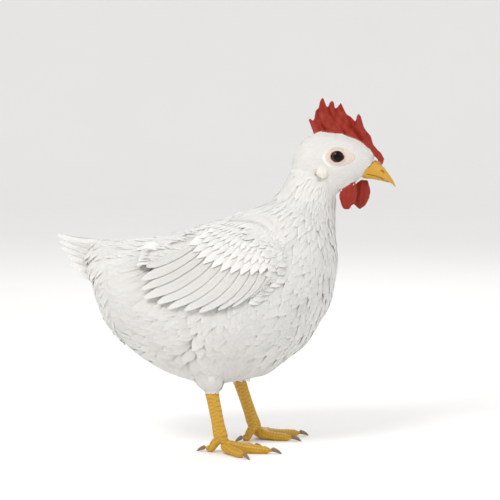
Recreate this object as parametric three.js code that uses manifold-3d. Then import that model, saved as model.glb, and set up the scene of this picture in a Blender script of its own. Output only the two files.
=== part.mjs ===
// A white hen, standing still, at life size: beak along +X, Z up, millimetres.
//
// The body is one loft from the rump to the top of the neck. Its sections are upright planes behind the
// pivot line (PIVOT) and fan round that line in front of it, so that the row of sections bends up into the
// neck without crossing. Each solid shows the outline of the plumage over it. Where two pieces meet, one is
// cut by the other grown by GAP.

import * as THREE from "three";
import { mergeVertices } from "three/addons/utils/BufferGeometryUtils.js";
import Module from "manifold-3d";

const wasm = await Module();
wasm.setup();

// ---------------------------------------------------------------- driving dimensions, millimetres
const GAP = 0.35; // clearance between neighbouring pieces
const PIVOT = { x: 0, z: 325 }; // the sections of breast and neck fan round this line
const SIDES = { right: -1, left: 1 }; // sign of Y

// Sections of the plumage. "at" is millimetres along X behind the pivot, degrees of fan in front of it.
// top and bottom are distances from the pivot, half is the half width.
const SECTIONS = [
  { name: "rump end", at: -141, top: 89, bottom: 141, half: 25 },
  { name: "vent", at: -122, top: 90.5, bottom: 183, half: 47 },
  { name: "abdomen", at: -95, top: 90, bottom: 214, half: 62 },
  { name: "loin", at: -60, top: 87, bottom: 238, half: 72 },
  { name: "thigh", at: -28, top: 79, bottom: 250, half: 77 },
  { name: "belly", at: 0, top: 70, bottom: 255.5, half: 79 },
  { name: "keel", at: 15, top: 67, bottom: 250, half: 79 },
  { name: "breast", at: 30, top: 69, bottom: 227, half: 75 },
  { name: "shoulder", at: 45, top: 75, bottom: 195, half: 62 },
  { name: "neck base", at: 60, top: 80.5, bottom: 156, half: 38 },
  { name: "mid neck", at: 75, top: 83.5, bottom: 141, half: 25.5 },
  { name: "nape", at: 87, top: 85.5, bottom: 134, half: 19 },
];
const NECK_FAN = 53; // degrees of fan where the neck leaves the trunk
const RUMP_X = -104; // the rump with the tail coverts is behind this plane

// Upright sections of the head, from its back to the beak, with X in "at".
const HEAD = [
  { name: "occiput", at: 85, top: 334, bottom: 300, half: 12 },
  { name: "hind crown", at: 99, top: 346, bottom: 294, half: 18 },
  { name: "crown", at: 116, top: 353.5, bottom: 290, half: 20.5 },
  { name: "eye", at: 132, top: 352.5, bottom: 286, half: 21 },
  { name: "brow", at: 146, top: 350, bottom: 288.5, half: 19 },
  { name: "gape", at: 159, top: 344.5, bottom: 299, half: 15 },
  { name: "lore", at: 169, top: 337.5, bottom: 308, half: 11.5 },
  { name: "forehead", at: 178, top: 329, bottom: 316, half: 7.5 },
];
const EYE = { x: 135.5, y: 12.5, z: 326.5, radius: 9.5 };
const EARLOBE = { x: 118.5, y: 20.4, z: 307.5, long: 13.5, tall: 17, thick: 7 };
// The beak is sections too: culmen, mouth line and lower edge, with the half widths of its two halves.
const BEAK = [
  { at: 158, culmen: 327, mouth: 308.5, under: 302.5, upper: 10.5, lower: 9.5 },
  { at: 168, culmen: 327, mouth: 307.2, under: 301.5, upper: 10.2, lower: 9 },
  { at: 178, culmen: 323.5, mouth: 305.2, under: 300.2, upper: 8.8, lower: 7.4 },
  { at: 187, culmen: 316, mouth: 302, under: 298, upper: 6.9, lower: 5.4 },
  { at: 194, culmen: 307, mouth: 297.8, under: 295.6, upper: 4.7, lower: 3 },
  { at: 199, culmen: 299.5, mouth: 294.2, under: 294.2, upper: 2.6, lower: 1 },
  { at: 202, culmen: 293, mouth: 291, under: 291, upper: 1.2, lower: 0.4 },
];
const BEAK_ENDS = { upper: 202, lower: 195.5 };
// The comb from its back end to the beak: X and Z on its foot, then on its edge, in points and notches.
const COMB_ROWS = [
  [110.8, 355.5, 104.2, 367],
  [112, 356, 106.2, 368.8],
  [113.5, 356.3, 110, 365.2],
  [115.5, 356.5, 112, 377.4],
  [118, 356.5, 115.4, 380],
  [120, 356.4, 117, 388],
  [122, 356.2, 119.3, 391.6],
  [124, 355.8, 121, 390.4],
  [126.5, 355.2, 123.6, 383],
  [129, 354.4, 125.7, 380],
  [131, 353.8, 127.6, 386],
  [133, 353, 130.4, 388.4],
  [135, 352.3, 132.7, 386.4],
  [137.5, 351.6, 133.8, 378.4],
  [140.5, 351, 137.6, 382.2],
  [143, 350.7, 140.4, 386],
  [149, 349.8, 146.4, 373.4],
  [153, 348.6, 151.6, 370.2],
  [158, 347.3, 156.6, 364.6],
  [160, 346.7, 158, 371.6],
  [162, 346, 160, 374],
  [164, 345, 162.6, 370.6],
  [167.5, 342.6, 166.2, 358],
  [170.5, 340, 170, 353.2],
  [173, 337.4, 173.6, 349.4],
  [176, 334.3, 176.6, 339.4],
  [180, 329.8, 181.2, 334],
  [184, 325.5, 185.6, 330],
  [187, 322.5, 189.2, 323.4],
];
const COMB = {
  sunk: 5.5, // the foot goes this deep into the crown
  thick: 8.5,
  edge: 0.36, // thickness at the edge, as a share of that at the foot
  ruffle: 3.2,
};
const WATTLE = { x: 150.5, y: 7, z: 283.5, long: 28, tall: 34, thick: 6, ahead: 15.5 };

const WING = {
  // X and Z on the line of the tips, from the highest feather to the wrist
  tips: [
    [-73, 225.5], [-76.5, 205], [-81, 188.5], [-77.5, 176.5], [-62, 168], [-44, 162.5],
    [-22.5, 159.5], [2.5, 161], [24, 167], [44, 178.5], [59, 193],
  ],
  wrist: { x: 74, z: 224 }, // the feathers' roots lie on the arm line, elbow to wrist
  elbow: { x: -6, z: 249 },
  feathers: { secondaries: 6, primaries: 6 },
  notch: 0.1, // depth of the gap between two tips, as a share of the feather
  bow: 0.15, // the lowest feathers bulge forward at their middle by this share of their length
  firstBow: 0.02, // and the highest one by this share
  vane: 2.4, // thickness
  inmost: 24, // no covert comes nearer the middle of the back
  lift: 4.6, // of the outer face off the body
  parting: 0.005, // half the gap between the two rows, as a share of the fan
  coverts: { x: 20, z: 224, long: 116, tall: 64, thick: 14, turn: -11 },
};
const TAIL = {
  tips: [[-173.5, 246], [-176, 236], [-170, 222.5], [-158.5, 205.5], [-139.5, 183]],
  top: { x: -82, z: 231 }, // the roots of the top and of the lowest pair
  lowest: { x: -90, z: 196 },
  perSide: 5,
  notch: 0.14,
  bow: 0.055,
  firstBow: 0.055,
  vane: 1.8,
  spread: 21, // the lowest pair's tips are this far from the middle
};

const LEGS = {
  right: { hip: [-12, 44, 128], hock: [-8, 40, 92], ankle: [8, 41, 11], turn: 8, cuff: 64 },
  left: { hip: [4, 44, 128], hock: [19, 40, 92], ankle: [46, 41, 11], turn: 24, cuff: 67 },
};
const SHANK = { hock: 9, middle: 6.9, ankle: 8.8, flatten: 0.8 };
const TOES = [
  { name: "middle", angle: 0, length: 58, base: 6.3, tip: 4.5 },
  { name: "inner", angle: 36, length: 43, base: 5.7, tip: 4.3 },
  { name: "outer", angle: -48, length: 45, base: 5.7, tip: 4.3 },
  { name: "hind", angle: 168, length: 19, base: 5.2, tip: 4.2 },
];
const HIND_RISE = 8; // the hind toe leaves the shank this much higher than the others
const CLAW = { length: 12.5, hind: 11.5, radius: 3.3, drop: 5.6 };

// ---------------------------------------------------------------- shape tools
const degrees = THREE.MathUtils.degToRad;
const mix = THREE.MathUtils.lerp;

// A smooth curve through rows of named numbers, by cubic pieces whose slopes come from the neighbours.
function smoothRows(rows, key) {
  const slope = (i, field) => {
    const a = rows[Math.max(i - 1, 0)];
    const b = rows[Math.min(i + 1, rows.length - 1)];
    return (b[field] - a[field]) / (b[key] - a[key]);
  };
  return (at) => {
    let i = rows.findIndex((row) => row[key] > at) - 1;
    if (i < -1) i = rows.length - 2;
    i = THREE.MathUtils.clamp(i, 0, rows.length - 2);
    const a = rows[i];
    const b = rows[i + 1];
    const span = b[key] - a[key];
    const t = THREE.MathUtils.clamp((at - a[key]) / span, 0, 1);
    const result = {};
    for (const field of Object.keys(a)) {
      if (typeof a[field] !== "number") continue;
      const stay = (1 + 2 * t) * (1 - t) ** 2 * a[field] + t * t * (3 - 2 * t) * b[field];
      const lead = t * (1 - t) ** 2 * slope(i, field) - t * t * (1 - t) * slope(i + 1, field);
      result[field] = stay + lead * span;
    }
    return result;
  };
}

// How full a loft is near its two ends: 0 at the pole, 1 from "share" of its length on.
function rounding(t, start, end) {
  const near = Math.max(0, 1 - t / start, 1 - (1 - t) / end);
  return Math.sqrt(Math.max(0, 1 - near * near));
}

// A sphere's grid with every vertex moved: t runs 0 to 1 from pole to pole, turn is the angle round it.
function loft(around, along, place) {
  const geometry = new THREE.SphereGeometry(1, around, along);
  const uv = geometry.getAttribute("uv");
  const position = geometry.getAttribute("position");
  for (let i = 0; i < position.count; i++) {
    const t = Math.round((1 - uv.getY(i)) * along) / along;
    const turn = Math.round(uv.getX(i) * around) * ((2 * Math.PI) / around);
    position.setXYZ(i, ...place(t, turn).toArray());
  }
  return solidOf(geometry);
}

// A box's grid with every vertex moved. place gets shares of the three sides, each from 0 to 1.
function bentBox(counts, place) {
  const geometry = new THREE.BoxGeometry(1, 1, 1, ...counts);
  const position = geometry.getAttribute("position");
  for (let i = 0; i < position.count; i++) {
    const moved = place(position.getX(i) + 0.5, position.getY(i) + 0.5, position.getZ(i) + 0.5);
    position.setXYZ(i, ...moved.toArray());
  }
  return solidOf(geometry);
}

function solidOf(geometry) {
  geometry.deleteAttribute("normal");
  geometry.deleteAttribute("uv");
  const merged = mergeVertices(geometry, 1e-3);
  const triVerts = new Uint32Array(merged.index.array);
  const vertProperties = merged.attributes.position.array;
  const made = new wasm.Manifold(new wasm.Mesh({ numProp: 3, vertProperties, triVerts }));
  if (made.volume() > 0) return made;
  for (let i = 0; i < triVerts.length; i += 3) {
    [triVerts[i + 1], triVerts[i + 2]] = [triVerts[i + 2], triVerts[i + 1]];
  }
  return new wasm.Manifold(new wasm.Mesh({ numProp: 3, vertProperties, triVerts }));
}

function geometryOf(solid) {
  const mesh = solid.getMesh();
  const geometry = new THREE.BufferGeometry();
  geometry.setAttribute("position", new THREE.BufferAttribute(mesh.vertProperties, 3));
  geometry.setIndex(new THREE.BufferAttribute(mesh.triVerts, 1));
  geometry.computeVertexNormals();
  return geometry;
}

const joined = (solids) => solids.reduce((a, b) => a.add(b));
const largest = (solid) => solid.decompose().reduce((a, b) => (a.volume() > b.volume() ? a : b));

// ---------------------------------------------------------------- body: rump, trunk and neck
const sectionAt = smoothRows(SECTIONS, "at");
const FIRST = SECTIONS[0].at;
const LAST = SECTIONS[SECTIONS.length - 1].at;
const EGG = 0.06; // each section is wider below its middle by this share

function bodyPoint(at, turn, fill, grow) {
  const s = sectionAt(at);
  const middle = (s.top + s.bottom) / 2;
  const reach = middle - ((s.bottom - s.top) / 2) * fill * Math.cos(turn) - grow * Math.cos(turn);
  const side = (s.half * fill * (1 - EGG * Math.cos(turn)) + grow) * Math.sin(turn);
  const fan = degrees(Math.max(at, 0));
  return new THREE.Vector3(
    PIVOT.x + Math.min(at, 0) + reach * Math.sin(fan),
    side,
    PIVOT.z - reach * Math.cos(fan),
  );
}

function bodySolid(grow = 0) {
  return loft(26, 20, (t, turn) => {
    const fill = rounding(t, 0.1, 0.06);
    const eased = mix(t, (1 - Math.cos(Math.PI * t)) / 2, 0.35);
    const grown = t === 0 || t === 1 ? 0 : grow;
    return bodyPoint(mix(FIRST - grow, LAST + grow * 0.5, eased), turn, fill, grown);
  });
}

// The body's half width at a point of its side view.
function bodySide(x, z) {
  const inFan = x > PIVOT.x;
  const at = inFan ? THREE.MathUtils.radToDeg(Math.atan2(x - PIVOT.x, PIVOT.z - z)) : x - PIVOT.x;
  const reach = inFan ? Math.hypot(x - PIVOT.x, PIVOT.z - z) : PIVOT.z - z;
  const s = sectionAt(THREE.MathUtils.clamp(at, FIRST, LAST));
  const cosine = THREE.MathUtils.clamp(((s.top + s.bottom) / 2 - reach) / ((s.bottom - s.top) / 2), -1, 1);
  return s.half * (1 - EGG * cosine) * Math.sqrt(1 - cosine * cosine);
}

// ---------------------------------------------------------------- head
const headAt = smoothRows(HEAD, "at");

function headSolid(grow = 0) {
  const first = HEAD[0].at;
  const last = HEAD[HEAD.length - 1].at;
  return loft(20, 12, (t, turn) => {
    const eased = (1 - Math.cos(Math.PI * t)) / 2;
    const x = mix(first, last, eased);
    const ring = headAt(x);
    const fill = rounding(eased, 0.16, 0.07);
    const grown = fill > 0 ? grow : 0;
    const end = t === 0 ? -grow : t === 1 ? grow : 0;
    const middle = (ring.top + ring.bottom) / 2;
    const high = ((ring.top - ring.bottom) / 2) * fill + grown;
    const wide = ring.half * fill + grown;
    return new THREE.Vector3(x + end, wide * Math.sin(turn), middle + high * Math.cos(turn));
  });
}

function ellipsoid(centre, radii, around = 14, along = 10) {
  return loft(around, along, (t, turn) => {
    const ring = Math.sin(Math.PI * t);
    const unit = new THREE.Vector3(Math.cos(turn) * ring, -Math.cos(Math.PI * t), Math.sin(turn) * ring);
    return unit.multiply(radii).add(centre);
  });
}

function eyeSolid(side, grow = 0) {
  const radius = EYE.radius + grow;
  return ellipsoid(
    new THREE.Vector3(EYE.x, side * EYE.y, EYE.z),
    new THREE.Vector3(radius, radius, radius),
    11,
    7,
  );
}

function earlobeSolid(side) {
  const half = new THREE.Vector3(EARLOBE.long / 2, EARLOBE.thick / 2, EARLOBE.tall / 2);
  return ellipsoid(new THREE.Vector3(EARLOBE.x, side * EARLOBE.y, EARLOBE.z), half, 8, 5);
}

// One half of the beak, with its flat or hollow side on the mouth line. The upper half hooks over the lower.
const beakAt = smoothRows(BEAK, "at");

function beakSolid(part, grow = 0) {
  const isUpper = part === "upper";
  return loft(10, 8, (t, turn) => {
    const eased = Math.sin((Math.PI / 2) * t);
    const x = mix(BEAK[0].at, BEAK_ENDS[part], eased);
    const ring = beakAt(x);
    const fill = t > 0 && t < 1 ? 1 : 0;
    const closing = isUpper ? 1 : Math.sqrt(1 - eased ** 6);
    const outer = isUpper ? ring.culmen : ring.under;
    const out = (outer - ring.mouth) * closing;
    const height = Math.cos(turn) * (isUpper ? 1 : -1); // 1 at the outer edge
    const z = ring.mouth + (out * Math.max(0, height) + Math.sign(out) * grow * height) * fill;
    return new THREE.Vector3(x + grow * t, (ring[part] * closing + grow) * fill * Math.sin(turn), z);
  });
}

// A single comb: a fin whose edge runs in points, and that waves from side to side.
function combSolid() {
  const last = COMB_ROWS.length - 1;
  return bentBox([last, 2, 1], (u, v, w) => {
    const [footX, footZ, edgeX, edgeZ] = COMB_ROWS[Math.round(u * last)];
    const thin = mix(1, COMB.edge, v) * mix(0.5, 1, Math.sin(Math.PI * u) ** 0.5);
    const wave = COMB.ruffle * v * Math.sin(2 * Math.PI * (u * 2.1 + 0.1 + 0.15 * v));
    return new THREE.Vector3(
      mix(footX, edgeX, v),
      (w - 0.5) * COMB.thick * thin + wave,
      mix(footZ - COMB.sunk, edgeZ, v),
    );
  });
}

function wattleSolid(side) {
  const forward = side > 0 ? WATTLE.ahead : 0; // they don't hang evenly
  return loft(10, 7, (t, turn) => {
    const down = (1 - Math.cos(Math.PI * t)) / 2;
    const wide = Math.sin(Math.PI * Math.min(1, 0.1 + 0.9 * down ** 0.8)) ** 0.6 * (t > 0 && t < 1 ? 1 : 0);
    const body = wide * mix(0.55, 1, down);
    return new THREE.Vector3(
      WATTLE.x + forward - 4 * down + (WATTLE.long / 2) * body * Math.cos(turn),
      side * (WATTLE.y + 1.5 * down) + (WATTLE.thick / 2) * wide * Math.sin(turn),
      WATTLE.z + WATTLE.tall / 2 - WATTLE.tall * down,
    );
  });
}

// ---------------------------------------------------------------- wings
// Half width of the folded wing's outer face: it follows the body, and runs on straight past the flank.
function wingFace(x, z) {
  const flank = -26;
  const hugging = bodySide(Math.max(x, flank), z) - 0.16 * Math.max(0, flank - x);
  return Math.max(hugging, bodySide(x, z));
}

// Feathers side by side in one sheet. place gets the share of the length and of the width, the side of the
// sheet, and how far the point is from the edges of its own feather: 0 on an edge, 1 in the middle.
function featherSheet(feathers, place) {
  return bentBox([4, feathers * 3, 1], (u, v, w) => {
    const own = 2 * ((v * feathers) % 1) - 1;
    return place(u, v, w, 1 - own * own);
  });
}

// A point of a fan in the side view: u along the feather, whose root and share of the tips' line are given.
function fanPoint(fan, root, share, u, crown) {
  const tip = tipLine(fan).getPoint(share);
  const along = u * (1 - fan.notch * (1 - crown) * u * u);
  const bow = mix(fan.firstBow, fan.bow, share) * Math.sin(Math.PI * along);
  return {
    x: mix(root.x, tip.x, along) - bow * (tip.z - root.z),
    z: mix(root.z, tip.z, along) + bow * (tip.x - root.x),
  };
}

function tipLine(fan) {
  const points = fan.tips.map(([x, z]) => new THREE.Vector3(x, 0, z));
  return new THREE.CatmullRomCurve3(points, false, "catmullrom");
}

// The wing's flight feathers from share "from" to share "to" of the whole fan.
function flightSolid(side, feathers, from, to) {
  return featherSheet(feathers, (u, v, w, crown) => {
    const share = mix(from, to, v);
    const root = { x: mix(WING.elbow.x, WING.wrist.x, share), z: mix(WING.elbow.z, WING.wrist.z, share) };
    const { x, z } = fanPoint(WING, root, share, u, crown);
    const deep = WING.vane + 4 * Math.max(0, 1 - 1.2 * u); // thicker towards the arm
    return new THREE.Vector3(x, side * (wingFace(x, z) + WING.lift + 1.3 * crown - (1 - w) * deep), z);
  });
}

function covertsSolid(side, grow = 0) {
  const { coverts } = WING;
  const turned = degrees(coverts.turn);
  return loft(18, 7, (t, turn) => {
    const ring = Math.sin(Math.PI * t);
    const out = -Math.cos(Math.PI * t);
    const a = (coverts.long / 2 + grow) * ring * Math.cos(turn);
    const b = (coverts.tall / 2 + grow) * ring * Math.sin(turn) * mix(1, 0.86, Math.cos(turn) * 0.5 + 0.5);
    const x = coverts.x + a * Math.cos(turned) - b * Math.sin(turned);
    const z = coverts.z + a * Math.sin(turned) + b * Math.cos(turned);
    return new THREE.Vector3(x, side * (wingFace(x, z) + out * (coverts.thick / 2 + grow) + 3), z);
  });
}

// ---------------------------------------------------------------- tail
// Half of a low tail that stands like a roof: its feathers slope out and down from the middle.
function tailSolid(side) {
  return featherSheet(TAIL.perSide, (u, v, w, crown) => {
    const root = { x: mix(TAIL.top.x, TAIL.lowest.x, v), z: mix(TAIL.top.z, TAIL.lowest.z, v) };
    const { x, z } = fanPoint(TAIL, root, v, u, crown);
    const out = GAP + TAIL.vane * w + TAIL.spread * v ** 0.8 * mix(0.45, 1, u) + 0.8 * crown * v;
    return new THREE.Vector3(x, side * out, z);
  });
}

// ---------------------------------------------------------------- legs
const legPoint = (point, side) => new THREE.Vector3(point[0], side * point[1], point[2]);

function thighSolid(leg, side, grow = 0) {
  const hock = legPoint(leg.hock, side);
  const ankle = legPoint(leg.ankle, side);
  const cuff = hock.clone().lerp(ankle, (leg.hock[2] - leg.cuff) / (leg.hock[2] - leg.ankle[2]));
  const axis = new THREE.CatmullRomCurve3([legPoint(leg.hip, side), hock, cuff]);
  return loft(14, 7, (t, turn) => {
    const fill = rounding(t, 0.3, 0.05);
    const wide = mix(36, 9.6, Math.min(1, t * 1.1) ** 0.9) * fill + (fill > 0 ? grow : 0);
    const out = new THREE.Vector3(wide * 1.1 * Math.cos(turn), wide * 0.8 * Math.sin(turn), 0);
    return axis.getPoint(t).add(out);
  });
}

function shankSolid(leg, side, grow = 0) {
  const hock = legPoint(leg.hock, side);
  const ankle = legPoint(leg.ankle, side);
  return loft(10, 9, (t, turn) => {
    const eased = (1 - Math.cos(Math.PI * t)) / 2;
    const upper = mix(SHANK.hock, SHANK.middle, Math.min(1, eased * 2.2));
    const bulge = mix(upper, SHANK.ankle, Math.max(0, eased * 4 - 3));
    const radius = bulge * rounding(eased, 0.06, 0.08) + grow * (t > 0 && t < 1 ? 1 : 0);
    const middle = hock.clone().lerp(ankle, eased);
    return middle.add(new THREE.Vector3(radius * Math.cos(turn), radius * SHANK.flatten * Math.sin(turn), 0));
  });
}

// The line of a toe on the floor: it leaves the ankle, comes down and runs flat.
function toeLine(leg, side, toe) {
  const heading = degrees(side * (leg.turn - toe.angle));
  const ahead = new THREE.Vector3(Math.cos(heading), Math.sin(heading), 0);
  const isHind = toe.name === "hind";
  const flat = toe.tip * 0.78;
  const point = (share, z) => legPoint(leg.ankle, side).addScaledVector(ahead, toe.length * share).setZ(z);
  const line = new THREE.CatmullRomCurve3([
    point(0, leg.ankle[2] + (isHind ? HIND_RISE : -1)),
    point(isHind ? 0.45 : 0.24, isHind ? toe.base + 4 : toe.base + 0.6),
    point(0.65, flat + 0.6),
    point(1, flat),
  ]);
  return { line, ahead };
}

function toeSolid(leg, side, toe, grow = 0) {
  const { line, ahead } = toeLine(leg, side, toe);
  const sideways = new THREE.Vector3(-ahead.y, ahead.x, 0);
  return loft(8, 7, (t, turn) => {
    const knuckle = 1 + 0.06 * Math.cos(2 * Math.PI * t * 3);
    const full = mix(toe.base, toe.tip, t) * knuckle * rounding(t, 0.06, 0.12);
    const radius = full + grow * (t > 0 && t < 1 ? 1 : 0);
    const tangent = line.getTangent(t);
    const upward = new THREE.Vector3().crossVectors(tangent, sideways).normalize();
    return line
      .getPoint(t)
      .addScaledVector(sideways, radius * Math.cos(turn))
      .addScaledVector(upward, radius * Math.sin(turn));
  });
}

function clawSolid(leg, side, toe) {
  const { line, ahead } = toeLine(leg, side, toe);
  const sideways = new THREE.Vector3(-ahead.y, ahead.x, 0);
  const start = line.getPoint(0.93);
  const length = toe.name === "hind" ? CLAW.hind : CLAW.length;
  return loft(6, 4, (t, turn) => {
    const radius = CLAW.radius * Math.sqrt(Math.max(0, 1 - t ** 1.3)) * Math.min(1, t * 20);
    return start
      .clone()
      .addScaledVector(ahead, (length + 2) * t)
      .add(new THREE.Vector3(0, 0, 1.6 - CLAW.drop * t * t))
      .addScaledVector(sideways, radius * 0.75 * Math.cos(turn))
      .add(new THREE.Vector3(0, 0, radius * Math.sin(turn)));
  });
}

// ---------------------------------------------------------------- cutting the pieces to fit
const FLOOR = [0, 0, 1];
const body = bodySolid();
const bodyGrown = bodySolid(GAP);
const fanNormal = (fan) => [Math.cos(degrees(fan)), 0, Math.sin(degrees(fan))];
const neckNormal = fanNormal(NECK_FAN);
const neckOffset = neckNormal[2] * PIVOT.z;
const flipped = (normal) => normal.map((n) => -n);

const headGrown = headSolid(GAP);
const upperGrown = beakSolid("upper", GAP);
const lowerGrown = beakSolid("lower", GAP);
const faceGrown = joined([headGrown, upperGrown, lowerGrown]);
const wholeNeck = body.trimByPlane(neckNormal, neckOffset + GAP / 2);
const wholeTrunk = body.trimByPlane(flipped(neckNormal), -neckOffset + GAP / 2);

const pieces = {};
pieces.head = headSolid();
pieces.neck = largest(wholeNeck.subtract(headGrown));
pieces.trunk = wholeTrunk.trimByPlane([1, 0, 0], RUMP_X + GAP / 2);
pieces.rump = wholeTrunk.trimByPlane([-1, 0, 0], -RUMP_X + GAP / 2);
pieces.comb = largest(combSolid().subtract(headGrown).subtract(upperGrown));
pieces.beak_upper = largest(beakSolid("upper").subtract(headGrown));
pieces.beak_lower = largest(beakSolid("lower").subtract(headGrown).subtract(upperGrown));

for (const [word, side] of Object.entries(SIDES)) {
  const leg = LEGS[word];
  pieces.head = pieces.head.subtract(eyeSolid(side, GAP));
  pieces[`eye_${word}`] = eyeSolid(side);
  pieces[`earlobe_${word}`] = largest(earlobeSolid(side).subtract(headGrown).subtract(bodyGrown));
  pieces[`wattle_${word}`] = largest(wattleSolid(side).subtract(faceGrown).subtract(bodyGrown));

  const taken = bodyGrown.add(covertsSolid(side, 2 * GAP));
  const { secondaries, primaries } = WING.feathers;
  const parting = secondaries / (secondaries + primaries);
  const upperRow = flightSolid(side, secondaries, 0, parting - WING.parting);
  const lowerRow = flightSolid(side, primaries, parting + WING.parting, 1);
  pieces[`wing_${word}_coverts`] = largest(
    covertsSolid(side).subtract(bodyGrown).trimByPlane([0, side, 0], WING.inmost),
  );
  pieces[`wing_${word}_secondaries`] = largest(upperRow.subtract(taken));
  pieces[`wing_${word}_primaries`] = largest(lowerRow.subtract(taken));

  pieces[`tail_${word}`] = largest(tailSolid(side).subtract(bodyGrown));
  pieces[`thigh_${word}`] = largest(thighSolid(leg, side).subtract(bodyGrown));
  pieces[`shank_${word}`] = largest(shankSolid(leg, side).subtract(thighSolid(leg, side, GAP)));
  let foot = shankSolid(leg, side, GAP);
  for (const toe of TOES) {
    const grown = toeSolid(leg, side, toe, GAP);
    const cutToe = toeSolid(leg, side, toe).subtract(foot);
    const cutClaw = clawSolid(leg, side, toe).subtract(grown);
    pieces[`toe_${toe.name}_${word}`] = largest(cutToe.trimByPlane(FLOOR, 0));
    pieces[`claw_${toe.name}_${word}`] = largest(cutClaw.trimByPlane(FLOOR, 0));
    foot = foot.add(grown);
  }
}

// ---------------------------------------------------------------- finishes
const finish = (color, roughness) => new THREE.MeshStandardMaterial({ color, roughness, metalness: 0 });
const FINISHES = {
  plumage: finish(0xe9e8e5, 0.85),
  red_skin: finish(0xa63a24, 0.55),
  pale_skin: finish(0xe7dccd, 0.6),
  keratin: finish(0xcc9e2a, 0.45),
  scales: finish(0xcf9f20, 0.6),
  claw: finish(0x8a715a, 0.5),
  eye: finish(0x2a1a0c, 0.1),
};

function finishOf(name) {
  if (/^(comb|wattle)/.test(name)) return FINISHES.red_skin;
  if (/^earlobe/.test(name)) return FINISHES.pale_skin;
  if (/^beak/.test(name)) return FINISHES.keratin;
  if (/^(shank|toe)/.test(name)) return FINISHES.scales;
  if (/^claw/.test(name)) return FINISHES.claw;
  if (/^eye/.test(name)) return FINISHES.eye;
  return FINISHES.plumage;
}

// ---------------------------------------------------------------- assembly
const hen = new THREE.Group();
for (const [name, solid] of Object.entries(pieces)) {
  const mesh = new THREE.Mesh(geometryOf(solid), finishOf(name));
  mesh.name = name;
  hen.add(mesh);
}

// The origin is on the floor under the middle of the whole hen.
const box = new THREE.Box3().setFromObject(hen);
const middle = box.getCenter(new THREE.Vector3());
hen.position.set(-middle.x, -middle.y, -box.min.z);

export default hen;
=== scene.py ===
"""A white hen in full plumage, standing still at life size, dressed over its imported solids.

One skin stands for the solids of flesh and lies inside them by the coat's depth. The plumage is solid vanes
that follow the lie of the coat from the skin out to the solids' outline. Everything is in metres.
"""

import math
from collections import namedtuple

import bmesh
import bpy
import numpy as np
from bpy.props import FloatProperty, FloatVectorProperty, IntProperty, PointerProperty
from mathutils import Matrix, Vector
from mathutils.bvhtree import BVHTree


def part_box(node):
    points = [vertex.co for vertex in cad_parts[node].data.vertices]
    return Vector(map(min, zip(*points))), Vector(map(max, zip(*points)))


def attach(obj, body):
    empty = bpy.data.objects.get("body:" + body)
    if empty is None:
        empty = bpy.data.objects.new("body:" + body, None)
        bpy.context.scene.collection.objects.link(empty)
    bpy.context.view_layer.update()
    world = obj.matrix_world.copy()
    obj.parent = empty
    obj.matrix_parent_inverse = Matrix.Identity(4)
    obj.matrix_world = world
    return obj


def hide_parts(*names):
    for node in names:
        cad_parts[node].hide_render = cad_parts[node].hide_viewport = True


bl_info = {
    "name": "White Hen",
    "version": (1, 0, 0),
    "blender": (4, 5, 0),
    "location": "3D View > Sidebar > Hen",
    "description": "Skin, feathers, scales, horn and eyes of a standing white hen",
    "category": "Add Mesh",
}

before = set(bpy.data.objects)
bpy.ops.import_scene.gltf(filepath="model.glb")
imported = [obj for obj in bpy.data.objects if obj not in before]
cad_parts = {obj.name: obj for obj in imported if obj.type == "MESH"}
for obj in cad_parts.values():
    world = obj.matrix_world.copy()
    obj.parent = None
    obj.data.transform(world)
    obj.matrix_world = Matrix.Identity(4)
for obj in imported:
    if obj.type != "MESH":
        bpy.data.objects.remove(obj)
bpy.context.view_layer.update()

MM = 0.001
SIDES = {"right": -1, "left": 1}  # sign of Y
TOES = ("middle", "inner", "outer", "hind")

# Places below are in the solids' own millimetres, in which the trunk is centred on Y and begins at this X.
TRUNK_START = -103.825
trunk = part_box("trunk")
SHIFT = Vector((trunk[0].x - TRUNK_START * MM, (trunk[0].y + trunk[1].y) / 2, 0))
EYE = Vector((135.5, 12.5, 326.5))  # of the left eye; the right one is its mirror image
EYE_RADIUS = 9.5


def place(x, y, z):
    """A point given in the solids' own millimetres, in metres in the frame."""
    return Vector((x, y, z)) * MM + SHIFT


def places(rows):
    """The same for an array of points."""
    return np.asarray(rows, float) * MM + np.array(SHIFT)


def own(points):
    """X, Y and Z in the solids' own millimetres of points in the frame."""
    return ((points - np.array(SHIFT)) / MM).T


def unit(rows):
    return rows / np.maximum(np.linalg.norm(rows, axis=-1, keepdims=True), 1e-12)


def ramp(x, start, end):
    """0 at start, 1 at end, smooth between."""
    t = np.clip((x - start) / (end - start), 0, 1)
    return t * t * (3 - 2 * t)


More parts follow.
